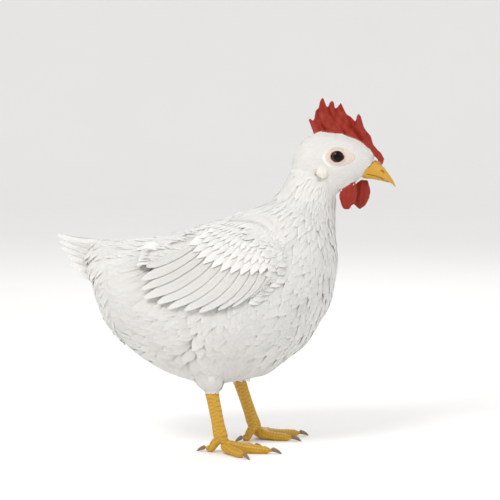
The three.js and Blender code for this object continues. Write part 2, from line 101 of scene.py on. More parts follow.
# ---------------------------------------------------------------- the lie of the coat
# How the feathers lie at each named place, mirrored to the other side: the place, their heading, then
# millimetres: length, half width, depth of the coat, and gap between two roots.
LIES = (
    ("forehead", (168, 5, 335), (-1, 0.1, 0.25), 4.2, 0.7, 0.5, 0.98),
    ("brow", (150, 15, 342), (-1, 0.1, 0.1), 5.2, 0.8, 0.6, 1.08),
    ("lore", (170, 10, 325), (-1, 0.1, -0.1), 3.2, 0.6, 0.45, 0.92),
    ("crown", (116, 16, 347), (-1, 0.05, -0.2), 7.5, 1.05, 0.9, 1.25),
    ("ear", (112, 20, 316), (-1, 0.05, -0.35), 8.5, 1.15, 1.0, 1.35),
    ("cheek", (137, 20, 306), (-0.85, 0, -0.5), 6.5, 0.9, 0.7, 1.15),
    ("jaw", (160, 10, 309), (-0.95, 0, -0.25), 4.2, 0.7, 0.5, 1.0),
    ("chin", (152, 6, 295), (-0.75, 0, -0.65), 6.5, 0.95, 0.8, 1.15),
    ("throat", (134, 8, 289), (-0.35, 0, -0.95), 9.5, 1.4, 1.5, 1.45),
    ("nape", (88, 8, 326), (-0.6, 0, -0.8), 12, 1.6, 1.6, 1.7),
    ("upper hackle", (79, 8, 302), (-0.45, 0, -0.9), 22, 2.7, 3.0, 2.5),
    ("side hackle", (106, 25, 288), (-0.3, 0.1, -0.95), 21, 2.8, 3.0, 2.5),
    ("front hackle", (135, 8, 272), (0, 0, -1), 21, 3.6, 3.6, 3.0),
    ("lower hackle", (56, 12, 272), (-0.85, 0, -0.5), 42, 4.8, 4.0, 3.8),
    ("cape", (80, 38, 258), (-0.6, 0.25, -0.75), 42, 5.2, 4.0, 4.0),
    ("neck front", (137, 8, 242), (0, 0, -1), 30, 5.6, 4.4, 4.2),
    ("neck side", (115, 32, 240), (-0.3, 0.1, -0.95), 34, 5.4, 4.8, 4.2),
    ("upper breast", (139, 12, 208), (-0.05, 0, -1), 32, 6.4, 5.5, 4.9),
    ("breast", (130, 20, 168), (-0.45, 0.05, -0.9), 36, 7.4, 6.3, 5.6),
    ("side breast", (100, 60, 190), (-0.7, 0.1, -0.7), 36, 7.3, 6.3, 5.5),
    ("lower breast", (98, 25, 112), (-0.85, 0, -0.5), 38, 7.6, 6.3, 5.8),
    ("keel side", (66, 62, 125), (-0.92, 0, -0.35), 38, 7.6, 6.3, 5.8),
    ("keel", (40, 15, 72), (-1, 0, -0.05), 38, 7.4, 5.9, 5.7),
    ("belly", (-40, 25, 76), (-1, 0, 0.08), 38, 7.0, 5.9, 5.4),
    ("flank", (-30, 70, 125), (-0.92, 0, -0.3), 38, 7.4, 6.3, 5.6),
    ("rear flank", (-78, 60, 145), (-0.97, 0, -0.12), 36, 6.7, 6.3, 5.1),
    ("abdomen", (-92, 25, 114), (-0.92, 0, 0.3), 34, 6.8, 6.7, 4.8),
    ("vent", (-126, 25, 150), (-0.5, 0, -0.85), 30, 4.6, 6.7, 3.8),
    ("rump side", (-124, 42, 195), (-0.8, 0.05, -0.55), 32, 5.0, 6.7, 4.0),
    ("shoulders", (25, 22, 258), (-1, 0.05, -0.1), 42, 6.2, 4.3, 4.4),
    ("back", (-25, 25, 250), (-1, 0, -0.03), 38, 7.2, 4.3, 4.8),
    ("saddle", (-72, 25, 240), (-1, 0, -0.1), 46, 6.0, 4.4, 4.2),
    ("side saddle", (-80, 52, 212), (-0.95, 0.1, -0.35), 46, 6.0, 4.6, 4.3),
    ("tail base", (-122, 12, 234), (-1, 0, 0.12), 36, 6.2, 4.4, 4.2),
)
THIGH_LIES = (  # along the leg: share of the way from hip to cuff, then the same four measures
    (0.15, 30, 7.0, 7, 5.0),
    (0.5, 22, 5.0, 4.5, 3.8),
    (0.8, 15, 3.4, 3.0, 2.7),
    (1.0, 12, 2.2, 2.2, 1.8),
)
THIGH_RING = (34, 24)  # millimetres from a leg's line to its lies at the hip, and how many fewer at the cuff
LEGS = {
    "right": {"hip": (-12, -44, 128), "hock": (-8, -40, 92), "ankle": (8, -41, 11), "cuff": 64},
    "left": {"hip": (4, 44, 128), "hock": (19, 40, 92), "ankle": (46, 41, 11), "cuff": 67},
}


def leg_point(side, share):
    """A point of the leg's line in the solids' millimetres: 0 at the hip, 1 at the cuff, 2 at the ankle."""
    leg = LEGS[side]
    hip, hock, ankle = (Vector(leg[k]) for k in ("hip", "hock", "ankle"))
    cuff = hock.lerp(ankle, (hock.z - leg["cuff"]) / (hock.z - ankle.z))
    return hip.lerp(cuff, share) if share < 1 else cuff.lerp(ankle, share - 1)


def coat_rows():
    """The lies as arrays: places, headings and measures, all in metres."""
    at, way, measures = [], [], []
    for _, (x, y, z), (ahead, aside, rise), *numbers in LIES:
        for sign in SIDES.values():
            at.append((x, sign * y, z))
            way.append((ahead, sign * aside, rise))
            measures.append(numbers)
    for side in SIDES:
        for share, *numbers in THIGH_LIES:
            middle = leg_point(side, share)
            ahead = (leg_point(side, min(share + 0.1, 1.1)) - leg_point(side, share - 0.1)).normalized()
            out = THIGH_RING[0] - THIGH_RING[1] * share
            for x, y in ((out, 0), (-out, 0), (0, out), (0, -out)):
                at.append(middle + Vector((x, y, 0)))
                way.append(ahead)
                measures.append(numbers)
    return places(at), unit(np.array(way, float)), np.array(measures, float) * MM


COAT = coat_rows()
NEAR = 5 * MM  # lies nearer than this count alike
FADE = 2.2  # how fast the say of a lie fades with the square of its distance


def coat_at(points):
    """Heading and (length, half width, depth, gap) of the coat at each point, from the lies around it."""
    at, way, measures = COAT
    weight = (((points[:, None, :] - at[None]) ** 2).sum(2) + NEAR**2) ** -FADE
    weight /= weight.sum(1)[:, None]
    return unit(weight @ way), weight @ measures


# ---------------------------------------------------------------- arrays and meshes
def read(items, name, size, kind=np.float32):
    out = np.empty(len(items) * size, kind)
    items.foreach_get(name, out)
    return out.reshape(-1, size) if size > 1 else out


def points_of(mesh):
    return read(mesh.vertices, "co", 3).astype(float)


def set_points(mesh, co):
    mesh.vertices.foreach_set("co", co.astype(np.float32).ravel())
    mesh.update()


def normals_of(mesh):
    return read(mesh.vertex_normals, "vector", 3).astype(float)


def triangles_of(mesh):
    mesh.calc_loop_triangles()
    return read(mesh.loop_triangles, "vertices", 3, np.int32)


def tree_of(mesh):
    return BVHTree.FromPolygons(points_of(mesh).tolist(), triangles_of(mesh).tolist())


def relax(mesh, values, share, rounds):
    """Draws the rows of values at a mesh's vertices by a share towards the mean of their neighbours' rows."""
    a, b = read(mesh.edges, "vertices", 2, np.int32).T
    count = np.bincount(np.append(a, b), minlength=len(values))[:, None]
    share = np.reshape(share, (-1, 1))
    for _ in range(rounds):
        total = np.stack([np.bincount(a, c[b], len(c)) + np.bincount(b, c[a], len(c)) for c in values.T], 1)
        values = values + share * (total / count - values)
    return values


def relaxed(mesh, share, rounds):
    set_points(mesh, relax(mesh, points_of(mesh), share, rounds))


def blur(mesh, values, rounds):
    """A number at each vertex, spread to the vertices around it."""
    return relax(mesh, np.asarray(values, float)[:, None], 0.6, rounds)[:, 0]


def add_object(name, mesh):
    made = bpy.data.objects.new(name, mesh)
    bpy.context.scene.collection.objects.link(made)
    return made


def evaluated(made):
    """The object's mesh with its modifiers applied; the object goes."""
    graph = bpy.context.evaluated_depsgraph_get()
    mesh = bpy.data.meshes.new_from_object(made.evaluated_get(graph))
    bpy.data.objects.remove(made)
    return mesh


def mesh_from(bm, name):
    """A new mesh of what the bmesh holds; the bmesh goes."""
    mesh = bpy.data.meshes.new(name)
    bm.to_mesh(mesh)
    bm.free()
    return mesh


def closed_over(nodes, voxel, rounds, cut=None):
    """One closed mesh over copies of these solids, by voxels of so many millimetres, and smoothed.

    cut is a point and a direction: what lies that way goes.
    """
    bm = bmesh.new()
    for name in nodes:
        bm.from_mesh(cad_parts[name].data)
    bmesh.ops.remove_doubles(bm, verts=bm.verts, dist=1e-6)
    if cut:
        part = bm.verts[:] + bm.edges[:] + bm.faces[:]
        bmesh.ops.bisect_plane(bm, geom=part, plane_co=cut[0], plane_no=cut[1], clear_outer=True)
        bmesh.ops.holes_fill(bm, edges=[e for e in bm.edges if e.is_boundary])
    made = add_object("closed", mesh_from(bm, "closed"))
    remesh = made.modifiers.new("remesh", "REMESH")
    remesh.mode = "VOXEL"
    remesh.voxel_size = voxel * MM
    mesh = evaluated(made)
    relaxed(mesh, 0.5, rounds)
    return mesh


def tree_over(nodes):
    """A tree over several solids, and which of them each of its triangles is of."""
    corners, faces, owner = [], [], []
    for i, name in enumerate(nodes):
        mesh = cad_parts[name].data
        faces.append(triangles_of(mesh) + sum(map(len, corners)))
        corners.append(points_of(mesh))
        owner += [i] * len(faces[-1])
    tree = BVHTree.FromPolygons(np.concatenate(corners).tolist(), np.concatenate(faces).tolist())
    return tree, np.array(owner)


def nearest_on(tree, points, *wanted):
    """What is nearest to each point: 0 the place, 1 the normal there, 2 the triangle, 3 how far it is."""
    found = [tree.find_nearest(p) for p in points.reshape(-1, 3).tolist()]
    return [np.array([f[k] for f in found]) for k in wanted]


def nearest_solid(nodes, points):
    """Which of the solids is nearest to each point, and how far it is."""
    tree, owner = tree_over(nodes)
    face, apart = nearest_on(tree, points, 2, 3)
    return owner[face], apart


def finish_piece(made, material, node=None, slot=None):
    """The object gets its material and rides on the hen's one body; these solids are hidden."""
    made.data.materials.clear()
    made.data.materials.append(material)
    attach(made, "root")
    if node:
        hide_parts(*([node] if isinstance(node, str) else node))


# ---------------------------------------------------------------- flesh
HEAD_NODES = ["head", "comb", "wattle_right", "wattle_left", "earlobe_right", "earlobe_left"]
HORN_NODES = ["beak_upper", "beak_lower"]
EYE_NODES = ["eye_right", "eye_left"]
FACE_NODES = HEAD_NODES + HORN_NODES
CORE_NODES = ["trunk", "neck", "rump", "thigh_right", "thigh_left", "wing_right_coverts", "wing_left_coverts"]
made_here = {}  # what several operators use, by name: meshes, trees, sheets, materials and shader groups


def leg_nodes(side):
    return [f"shank_{side}"] + [f"toe_{toe}_{side}" for toe in TOES]


def whole_leg(side):
    """The leg's solids: the scaled ones, then the thigh, then the claws."""
    return leg_nodes(side) + [f"thigh_{side}"] + [f"claw_{toe}_{side}" for toe in TOES]


def build_forms():
    """Smooth closed forms of the solids: the body's outline, head, nape, legs and cuffs."""
    body = closed_over(CORE_NODES + ["head"], 3.4, 13)
    names = FACE_NODES + EYE_NODES
    head = closed_over(names, 0.8, 0)
    owner, _ = nearest_solid(names, points_of(head))
    thin = np.isin(owner, [names.index(n) for n in names if n != "head" and "earlobe" not in n])
    relaxed(head, 0.5 - 0.42 * blur(head, thin, 4), 36)
    nape = closed_over(["head", "neck"] + HORN_NODES + EYE_NODES, 1.3, 26)
    made_here.update(body=body, head=head, nape=nape)
    for side, sign in SIDES.items():
        top = place(*leg_point(side, 0.6))
        made_here["leg_" + side] = closed_over(whole_leg(side), 1, 7, (top, (0, 0, 1)))
        made_here["cuff_" + side] = closed_over([f"thigh_{side}", f"shank_{side}"], 1.4, 10)
        made_here["flank_" + side], _ = side_sheet(tree_for("body"), sign)


NECK_JOIN = (296, 312, 3)  # from the first height to the second the body is drawn in by so many mm more
LEG_JOIN = (66, 80, 5)  # and from the second down to the first


def shrunk_body():
    """The body's flesh: its form drawn in by the depth of the coat."""
    body = made_here["body"].copy()
    co = points_of(body)
    _, measures = coat_at(co)
    _, _, height = own(co)
    extra = NECK_JOIN[2] * ramp(height, *NECK_JOIN[:2]) + LEG_JOIN[2] * (1 - ramp(height, *LEG_JOIN[:2]))
    set_points(body, co - normals_of(body) * (measures[:, 2] + extra * MM)[:, None])
    relaxed(body, 0.5, 4)
    return body


def bare_face(co):
    """How bare of feathers the head is at each point: 1 on the comb, face, lobes and wattles."""
    owner, _ = nearest_solid(FACE_NODES, co)
    return np.maximum(owner > 0, 1 - ramp(from_face(co), -0.6, 0.8))


FACE = {"rear": -13.5, "front": 20.5, "high": 12.2, "drop": -1.2}  # of the bare skin, from the eye's middle


def from_face(co):
    """Millimetres from the edge of the bare skin about the eye, a lens with its point to the front."""
    x, _, z = own(co)
    x = x - EYE.x
    z = z - EYE.z - FACE["drop"] * ramp(x, 2, FACE["front"])
    share = np.clip((x - FACE["rear"]) / (FACE["front"] - FACE["rear"]), 0, 1)
    high = FACE["high"] * (4 * share * (1 - share)) ** 0.62 * (1 - 0.25 * share)
    return np.maximum(np.abs(z) - high, np.maximum(FACE["rear"] - x, x - FACE["front"]))


BEAK_BASE = (170, 0, 311)  # towards which the skin is drawn back inside the beak
HEAD_DEPTH = (0.55, 4.5)  # of the coat on the head, and how much more where the head joins the neck, in mm


def shrunk_head():
    """The head's flesh: drawn in where it is feathered and inside the beak, with its comb and lids shaped."""
    head = made_here["head"].copy()
    co = points_of(head)
    owner, _ = nearest_solid(FACE_NODES, co)
    horn = blur(head, owner >= len(HEAD_NODES), 2)
    base = np.array(place(*BEAK_BASE))
    co += (horn * 0.24 * (co[:, 0] > base[0]))[:, None] * (base - co)
    _, below = nearest_solid(["neck"], co)
    feathery = np.clip(1 - bare_face(co), 0, 1)
    join = 1 - ramp(below, 1 * MM, 11 * MM)
    lobe = blur(head, np.isin(owner, (4, 5)), 3)
    deep = feathery * (HEAD_DEPTH[0] + HEAD_DEPTH[1] * join) * MM + (horn * 0.8 - lobe * 0.25) * MM
    set_points(head, co - normals_of(head) * deep[:, None])
    shape_comb(head)
    for sign in SIDES.values():
        shape_lids(head, sign)
    return head


COMB_CREASES = (  # X and Z along the creases between the comb's leaves
    ((126, 379), (128, 373.8), (132.3, 367), (138.1, 362), (141.2, 357.5), (144.5, 350.9)),
    ((147, 373.4), (147, 367.7), (149.8, 360.5), (154.5, 355.5), (158, 351.5), (162.5, 345)),
    ((114.6, 376), (115.2, 369.8), (117.4, 364.1), (119.4, 359.8), (122.5, 356)),
    ((111, 365), (112.3, 360.5), (116.6, 356.3)),
    ((156.4, 366), (155.8, 362)),
    ((168.5, 349.5), (170.2, 347), (173.8, 342), (177, 335)),
)
COMB_FOOT = (
    (109, 355), (122.5, 356), (138, 350.5), (144, 350.8), (157, 346), (170, 339.5), (180.5, 326), (189, 322),
)


def from_line(x, z, line):
    """Distance from a polyline, and which side of it each point is on."""
    best, side = np.full(x.shape, 1e9), np.zeros(x.shape)
    for (ax, az), (bx, bz) in zip(line, line[1:]):
        dx, dz = bx - ax, bz - az
        t = np.clip(((x - ax) * dx + (z - az) * dz) / (dx * dx + dz * dz), 0, 1)
        apart = np.hypot(x - ax - t * dx, z - az - t * dz)
        side = np.where(apart < best, np.sign((x - ax) * dz - (z - az) * dx), side)
        best = np.minimum(best, apart)
    return best, side


def shape_comb(head):
    """Leaves that lap one another on the comb, a wave through it, and upright creases in the wattles."""
    co = points_of(head)
    owner, _ = nearest_solid(FACE_NODES, co)
    x, y, z = own(co)
    comb = blur(head, owner == 1, 2)
    wattle = blur(head, np.isin(owner, (2, 3)), 3)
    apart, _ = from_line(x, z, COMB_FOOT)
    free = ramp(apart, 1, 9)
    step, groove = np.zeros(len(x)), np.zeros(len(x))
    for line in COMB_CREASES:
        apart, side = from_line(x, z, line)
        groove = np.maximum(groove, np.exp(-((apart / 1.2) ** 2)))
        step += side * np.exp(-apart / 6) * ramp(apart, 0, 1)
    half = np.abs(y)
    relief = -0.7 * half * groove + np.clip(step, -1, 1) * np.minimum(1.7, 0.5 * half)
    wave = 1.9 * np.sin(math.tau * (x * 0.86 + z * 0.5) / 17 + 0.6)
    wave += 0.5 * np.sin(math.tau * (x * 0.9 - z * 0.3) / 9)
    co[:, 1] += comb * (np.sign(y) * relief + free * wave) * MM
    crease = 0.35 * np.sin(math.tau * x / 6.2 + 1.1 * np.sin(z / 7)) + 0.15 * np.sin(z / 1.9 + x / 3)
    set_points(head, co + normals_of(head) * (wattle * crease * MM)[:, None])


LID = {"opening": 6.9, "fine": 15, "margin": 0.3, "snap": 0.28, "sunk": 1.2, "blend": (9.5, 12.5)}
LID_FOLDS = ((1.15, 0.55, 0.75), (2.4, 0.5, -0.4), (3.4, 0.55, 0.34), (4.5, 0.5, -0.2), (5.4, 0.5, 0.12))
RIM = (11, 15)  # millimetres from the eye's middle, between which the head's own surface is taken


def bowl_terms(a, b):
    """The terms of a surface of the second degree."""
    return np.stack([np.ones_like(a), a, b, a * a, a * b, b * b], 1)


def shape_lids(head, sign):
    """A round opening with lids close over the eyeball and fine folds about them."""
    centre = place(EYE.x, sign * EYE.y, EYE.z)
    bm = bmesh.new()
    bm.from_mesh(head)
    near = [e for e in bm.edges if all((v.co - centre).length < LID["fine"] * MM for v in e.verts)]
    bmesh.ops.subdivide_edges(bm, edges=near, cuts=1, use_grid_fill=True)
    bm.to_mesh(head)
    bm.free()
    co = points_of(head)
    x, y, z = ((co - np.array(centre)) / MM).T
    y = y * sign
    radius, angle = np.hypot(x, z), np.arctan2(z, x)
    here = (y > 1) & (radius < LID["blend"][1])
    rim = (y > 1) & (radius > RIM[0]) & (radius < RIM[1])
    fit = np.linalg.lstsq(bowl_terms(x[rim], z[rim]), y[rim], rcond=None)[0]
    x, y, z, radius, angle = (v[here] for v in (x, y, z, radius, angle))
    front = np.exp(-((angle + 0.15) / 0.4) ** 2)
    rear = np.exp(-((np.abs(angle) - math.pi) / 0.45) ** 2)
    opening = LID["opening"] * (1 + 0.16 * front + 0.06 * rear - 0.03 * np.cos(2 * angle + math.pi))
    past = radius - opening
    radius = np.where(np.abs(past) < LID["snap"], opening + 0.02, radius)
    past = radius - opening
    x, z = radius * np.cos(angle), radius * np.sin(angle)
    upper = np.clip(np.sin(angle), 0, 1)
    folds = sum(high * (1 + 0.5 * upper * (k == 0)) * np.exp(-((past - at) / wide) ** 2)
                for k, (at, wide, high) in enumerate(LID_FOLDS))
    ball = np.sqrt(np.maximum(EYE_RADIUS**2 - radius**2, 0))
    outer = bowl_terms(x, z) @ fit + folds
    close = ramp(past, 0, 0.7)
    lid = (ball + LID["margin"]) * (1 - close) + np.maximum(outer, ball + LID["margin"]) * close
    keep = ramp(radius, *LID["blend"])
    y = np.where(past < 0, ball - LID["sunk"], lid) * (1 - keep) + y * keep
    co[here] = np.array(centre) + np.stack([x, y * sign, z], 1) * MM
    set_points(head, co)


LEG_TOP = 5.5  # radius at which the leg's skin runs up into the thigh


def shrunk_leg(side):
    """The leg's skin: a post inside the thigh, the shank, and toes drawn in under their claws."""
    leg = made_here["leg_" + side].copy()
    co = points_of(leg)
    owner, _ = nearest_solid(whole_leg(side), co)
    co -= normals_of(leg) * (blur(leg, owner > 5, 2) * 0.7 * MM)[:, None]
    cuff = LEGS[side]["cuff"]
    _, _, height = own(co)
    start, end = (np.array(place(*leg_point(side, share))) for share in (0.5, 1.5))
    out = co - (start + (end - start) * ((co[:, 2:] - start[2]) / (end[2] - start[2])))
    past = np.maximum(np.linalg.norm(out, axis=1) - LEG_TOP * MM, 0)
    co -= unit(out) * (ramp(height, cuff + 1, cuff + 9) * past)[:, None]
    co[:, 2] = np.maximum(co[:, 2], 0)
    set_points(leg, co)
    return leg


def united(name, meshes):
    """One closed mesh of several that pass through one another."""
    made = add_object(name, meshes[0])
    for i, mesh in enumerate(meshes[1:]):
        other = add_object(f"{name}_{i}", mesh)
        join = made.modifiers.new("join", "BOOLEAN")
        join.operation = "UNION"
        join.solver = "MANIFOLD"
        join.object = other
        mesh = evaluated(made)
        bpy.data.objects.remove(other)
        made = add_object(name, mesh)
    return made


# ---------------------------------------------------------------- vanes
Kind = namedtuple("Kind", "columns rows root widest narrow tip camber thick round rough ease")
KINDS = {
    "bristle": Kind(2, 4, 0.5, 0.4, 1.5, 0.2, 0.08, 0.08, 0.3, 0.1, 1.5),
    "hackle": Kind(4, 6, 0.6, 0.5, 2.0, 0.22, 0.13, 0.15, 0.25, 0.12, 1.6),
    "contour": Kind(4, 6, 0.45, 0.55, 2.2, 0.3, 0.05, 0.14, 0.5, 0.05, 2.0),
    "fluff": Kind(4, 6, 0.5, 0.55, 1.8, 0.2, 0.14, 0.14, 0.3, 0.35, 1.6),
    "covert": Kind(4, 6, 0.6, 0.6, 2.6, 0.45, 0.18, 0.26, 0.3, 0.04, 1.3),
    "flight": Kind(8, 24, 0.75, 0.5, 3.0, 0.5, 0.1, 0.35, 0.0, 0.02, 1.0),
    "scute": Kind(4, 4, 0.9, 0.4, 5.0, 0.7, 0.0, 0.5, 0.1, 0.02, 1.0),
}


def vane_shell(columns, rows):
    """A flat closed vane as arrays: across -1..1, along 0..1, layer (1 above, -1 below, 0 the rim), faces."""
    bm = bmesh.new()
    bmesh.ops.create_grid(bm, x_segments=columns, y_segments=rows, size=1)
    rim = [v.is_boundary for v in bm.verts]
    flat = [v.co.xy.copy() for v in bm.verts]
    rim_places = {tuple(round(c, 4) for c in xy) for xy, on in zip(flat, rim) if on}
    made = bmesh.ops.extrude_face_region(bm, geom=bm.faces[:])
    top = [v for v in made["geom"] if isinstance(v, bmesh.types.BMVert)]
    bmesh.ops.translate(bm, verts=bm.verts, vec=(0, 0, -1))
    bmesh.ops.translate(bm, verts=top, vec=(0, 0, 2))
    for v in bm.verts:
        if tuple(round(c, 4) for c in v.co.xy) in rim_places:
            v.co.z = 0
    bmesh.ops.remove_doubles(bm, verts=bm.verts, dist=1e-4)
    bmesh.ops.recalc_face_normals(bm, faces=bm.faces)
    co = np.array([v.co for v in bm.verts])
    faces = np.array([[v.index for v in f.verts] for f in bm.faces])
    bm.free()
    return co[:, 0], (co[:, 1] + 1) / 2, co[:, 2], faces


def row_shares(rows):
    """Where along a vane its rows lie: closer towards the tip."""
    return 1 - (1 - np.linspace(0, 1, rows + 1)) ** 1.5


def width_at(kind, t):
    """Share of the half width at share t of the length."""
    start = kind.root + (1 - kind.root) * ramp(t, 0, kind.widest)
    over = np.clip((t - kind.widest) / (1 - kind.widest), 0, 1)
    return start * (kind.tip + (1 - kind.tip) * (1 - over**kind.narrow))


def packed(co, faces, across, along):
    """Vanes with one shell in common, as arrays: their points, faces and the places on the vane."""
    count, size = co.shape[:2]
    every = faces + (np.arange(count) * size)[:, None, None]
    vane = np.tile(np.stack([across * 0.5 + 0.5, along], 1), (count, 1))
    return {"co": co.reshape(-1, 3), "faces": every.reshape(-1, 4), "vane": vane, "size": size}


def lay_vanes(kind, path, up, half, lift, seed, wrap=None):
    """Closed vanes along paths (vanes, rows, 3). half and lift are in metres, by vane and row.

    Vanes that wrap follow a form's surface across their width too.
    """
    rng = np.random.default_rng(seed)
    across, along, layer, faces = vane_shell(kind.columns, kind.rows)
    row = np.rint(along * kind.rows).astype(int)
    shape = (len(path), len(across))
    ahead = unit(np.gradient(path, axis=1))
    sideways = unit(np.cross(ahead, up))
    on_rim = layer == 0
    wide = half[:, row] * (1 + kind.rough * rng.uniform(-1, 0.6, shape) * on_rim)
    back = kind.round * np.abs(across) ** 2 * along**3
    ridge = 0.5 * (np.abs(across) < 0.01) * (1 - along) + 1
    body = layer * kind.thick * MM / 2 * ridge * (1 - 0.5 * along)
    high = lift[:, row] + body - kind.camber * wide * across**2
    length = np.linalg.norm(np.diff(path, axis=1), axis=2).sum(1)[:, None]
    fray = kind.rough * 0.12 * rng.uniform(-1, 1, shape) * on_rim * along**2
    flat = path[:, row] + sideways[:, row] * (across * wide)[..., None]
    flat -= ahead[:, row] * ((back * wide * 2) + fray * length)[..., None]
    out = np.cross(sideways, ahead)[:, row]
    if wrap:
        flat, out = (found.reshape(flat.shape) for found in nearest_on(wrap, flat, 0, 1))
    return packed(flat + out * high[..., None], faces, across, along)


def plumage(name, parts, material, roots, node=None, slot="plumage", seed=0):
    """One piece from several lots of vanes. roots are the places on the skin that each vane grows from."""
    rng = np.random.default_rng(seed)
    co, vane = (np.concatenate([p[key] for p in parts]) for key in ("co", "vane"))
    start = np.cumsum([0] + [len(p["co"]) for p in parts])
    faces = np.concatenate([p["faces"] + s for p, s in zip(parts, start)])
    sizes = np.concatenate([np.full(len(p["co"]) // p["size"], p["size"]) for p in parts])
    loops = faces.ravel()
    mesh = bpy.data.meshes.new(name)
    mesh.vertices.add(len(co))
    mesh.loops.add(faces.size)
    mesh.polygons.add(len(faces))
    mesh.vertices.foreach_set("co", co.astype(np.float32).ravel())
    mesh.loops.foreach_set("vertex_index", loops.astype(np.int32))
    mesh.polygons.foreach_set("loop_start", np.arange(0, faces.size, 4, dtype=np.int32))
    mesh.update(calc_edges=True)
    mesh.shade_smooth()
    mesh.set_sharp_from_angle(angle=math.radians(60))
    add_values(mesh, "tone", np.repeat(rng.random(len(sizes)), sizes))
    spread = np.repeat(unwrapped(roots), sizes, axis=0) + PATCH * (vane - 0.5)
    for layer_name, uv in (("OFBake", spread), ("vane", vane)):
        layer = mesh.uv_layers.new(name=layer_name, do_init=False)
        layer.uv.foreach_set("vector", uv[loops].astype(np.float32).ravel())
    finish_piece(add_object(name, mesh), material, node=node, slot=slot)


PATCH = 0.003  # the width of one vane's patch on the baked map


def add_values(mesh, name, values):
    """A number at each vertex, by name, for the shaders."""
    mesh.attributes.new(name, "FLOAT", "POINT").data.foreach_set("value", values.astype(np.float32))


def build_unwrap():
    """A light copy of the skin with an unwrap of its own shape, to place each vane's patch by."""
    made = add_object("unwrap", made_here["skin"].copy())
    lighten = made.modifiers.new("lighten", "DECIMATE")
    lighten.ratio = 0.04
    mesh = evaluated(made)
    made = add_object("unwrap", mesh)
    bpy.context.view_layer.objects.active = made
    for other in bpy.context.selected_objects:
        other.select_set(False)
    made.select_set(True)
    bpy.ops.object.mode_set(mode="EDIT")
    bpy.ops.mesh.select_all(action="SELECT")
    bpy.ops.uv.smart_project(angle_limit=math.radians(70), island_margin=0.004)
    bpy.ops.object.mode_set(mode="OBJECT")
    triangles = triangles_of(mesh)
    uv = read(mesh.uv_layers.active.uv, "vector", 2)
    loops = read(mesh.loop_triangles, "loops", 3, np.int32)
    made_here["unwrap"] = (points_of(mesh)[triangles], uv[loops], tree_of(mesh))
    bpy.data.objects.remove(made)


def unwrapped(roots):
    """The place of each root on the skin's unwrap, spread to fill the map."""
    corners, uv, tree = made_here["unwrap"]
    at, face = nearest_on(tree, roots, 0, 2)
    a, b, c = corners[face].transpose(1, 0, 2)
    whole = np.cross(b - a, c - a)
    area = np.maximum((whole**2).sum(1), 1e-20)
    v = (np.cross(at - a, c - a) * whole).sum(1) / area
    w = (np.cross(b - a, at - a) * whole).sum(1) / area
    spot = uv[face, 0] * (1 - v - w)[:, None] + uv[face, 1] * v[:, None] + uv[face, 2] * w[:, None]
    low, high = spot.min(0), spot.max(0)
    return 0.01 + 0.98 * (spot - low) / np.maximum(high - low, 1e-6)


TRIES = 7  # places thrown at a form for each root that has room on it


def sample(mesh, keep, gap_scale=1.0, seed=1):
    """Roots on a form, evenly apart by the coat's gap. keep says which of the points count."""
    rng = np.random.default_rng(seed)
    co, faces = points_of(mesh), triangles_of(mesh)
    faces = faces[keep(co[faces].mean(1))]
    a, b, c = co[faces].transpose(1, 0, 2)
    area = np.linalg.norm(np.cross(b - a, c - a), axis=1) / 2
    gap = coat_at((a + b + c) / 3)[1][:, 3] * gap_scale
    wanted = area / (0.8 * gap**2)
    tries = int(wanted.sum() * TRIES)
    pick = rng.choice(len(faces), tries, p=wanted / wanted.sum())
    r, s = rng.random((2, tries, 1))
    r = np.sqrt(r)
    spot = (1 - r) * a[pick] + r * (1 - s) * b[pick] + r * s * c[pick]
    apart = gap[pick]
    spots, reach = spot.tolist(), (apart**2).tolist()
    cells = [(i, j, k) for i in (-1, 0, 1) for j in (-1, 0, 1) for k in (-1, 0, 1)]
    grid, kept = {}, []
    for n, (x, y, z) in enumerate(np.floor(spot / apart.max()).astype(int).tolist()):
        px, py, pz = spots[n]
        around = (q for i, j, k in cells for q in grid.get((x + i, y + j, z + k), ()))
        if not any((px - q[0]) ** 2 + (py - q[1]) ** 2 + (pz - q[2]) ** 2 < reach[n] for q in around):
            grid.setdefault((x, y, z), []).append(spots[n])
            kept.append(n)
    return spot[kept]


BEND = math.radians(14)  # the most that a vane bends from one row to the next


def walk(tree, roots, length, shares, heading_at, wander, seed, bend=BEND):
    """Paths that follow the lie of the coat over a form, and the way up from it along them."""
    rng = np.random.default_rng(seed)
    at, ahead = roots, None
    (up,) = nearest_on(tree, at, 1)
    turn = rng.normal(0, wander, len(at))[:, None]
    path, ups = [at], [up]
    for step in np.diff(shares):
        wanted = heading_at(at)
        wanted = unit(wanted - up * (wanted * up).sum(1)[:, None])
        wanted = unit(wanted + np.cross(up, wanted) * turn)
        if ahead is not None:
            wanted = unit(wanted * 0.5 + ahead)
        stride = (length * step)[:, None]
        snapped, normal = nearest_on(tree, at + wanted * stride, 0, 1)
        way = unit(snapped - at)
        if ahead is None:
            ahead = wanted
        cosine = np.clip((way * ahead).sum(1), -1, 1)
        aside = unit(way - ahead * cosine[:, None])
        held = np.minimum(np.arccos(cosine), bend)[:, None]
        ahead = ahead * np.cos(held) + aside * np.sin(held)
        at = at + ahead * stride
        up = unit(up * 0.4 + normal)
        up = unit(up - ahead * (up * ahead).sum(1)[:, None])
        path.append(at)
        ups.append(up)
    return np.stack(path, 1), np.stack(ups, 1)


def tree_for(form):
    """The tree over a form, built once."""
    if "tree_" + form not in made_here:
        made_here["tree_" + form] = tree_of(made_here[form])
    return made_here["tree_" + form]


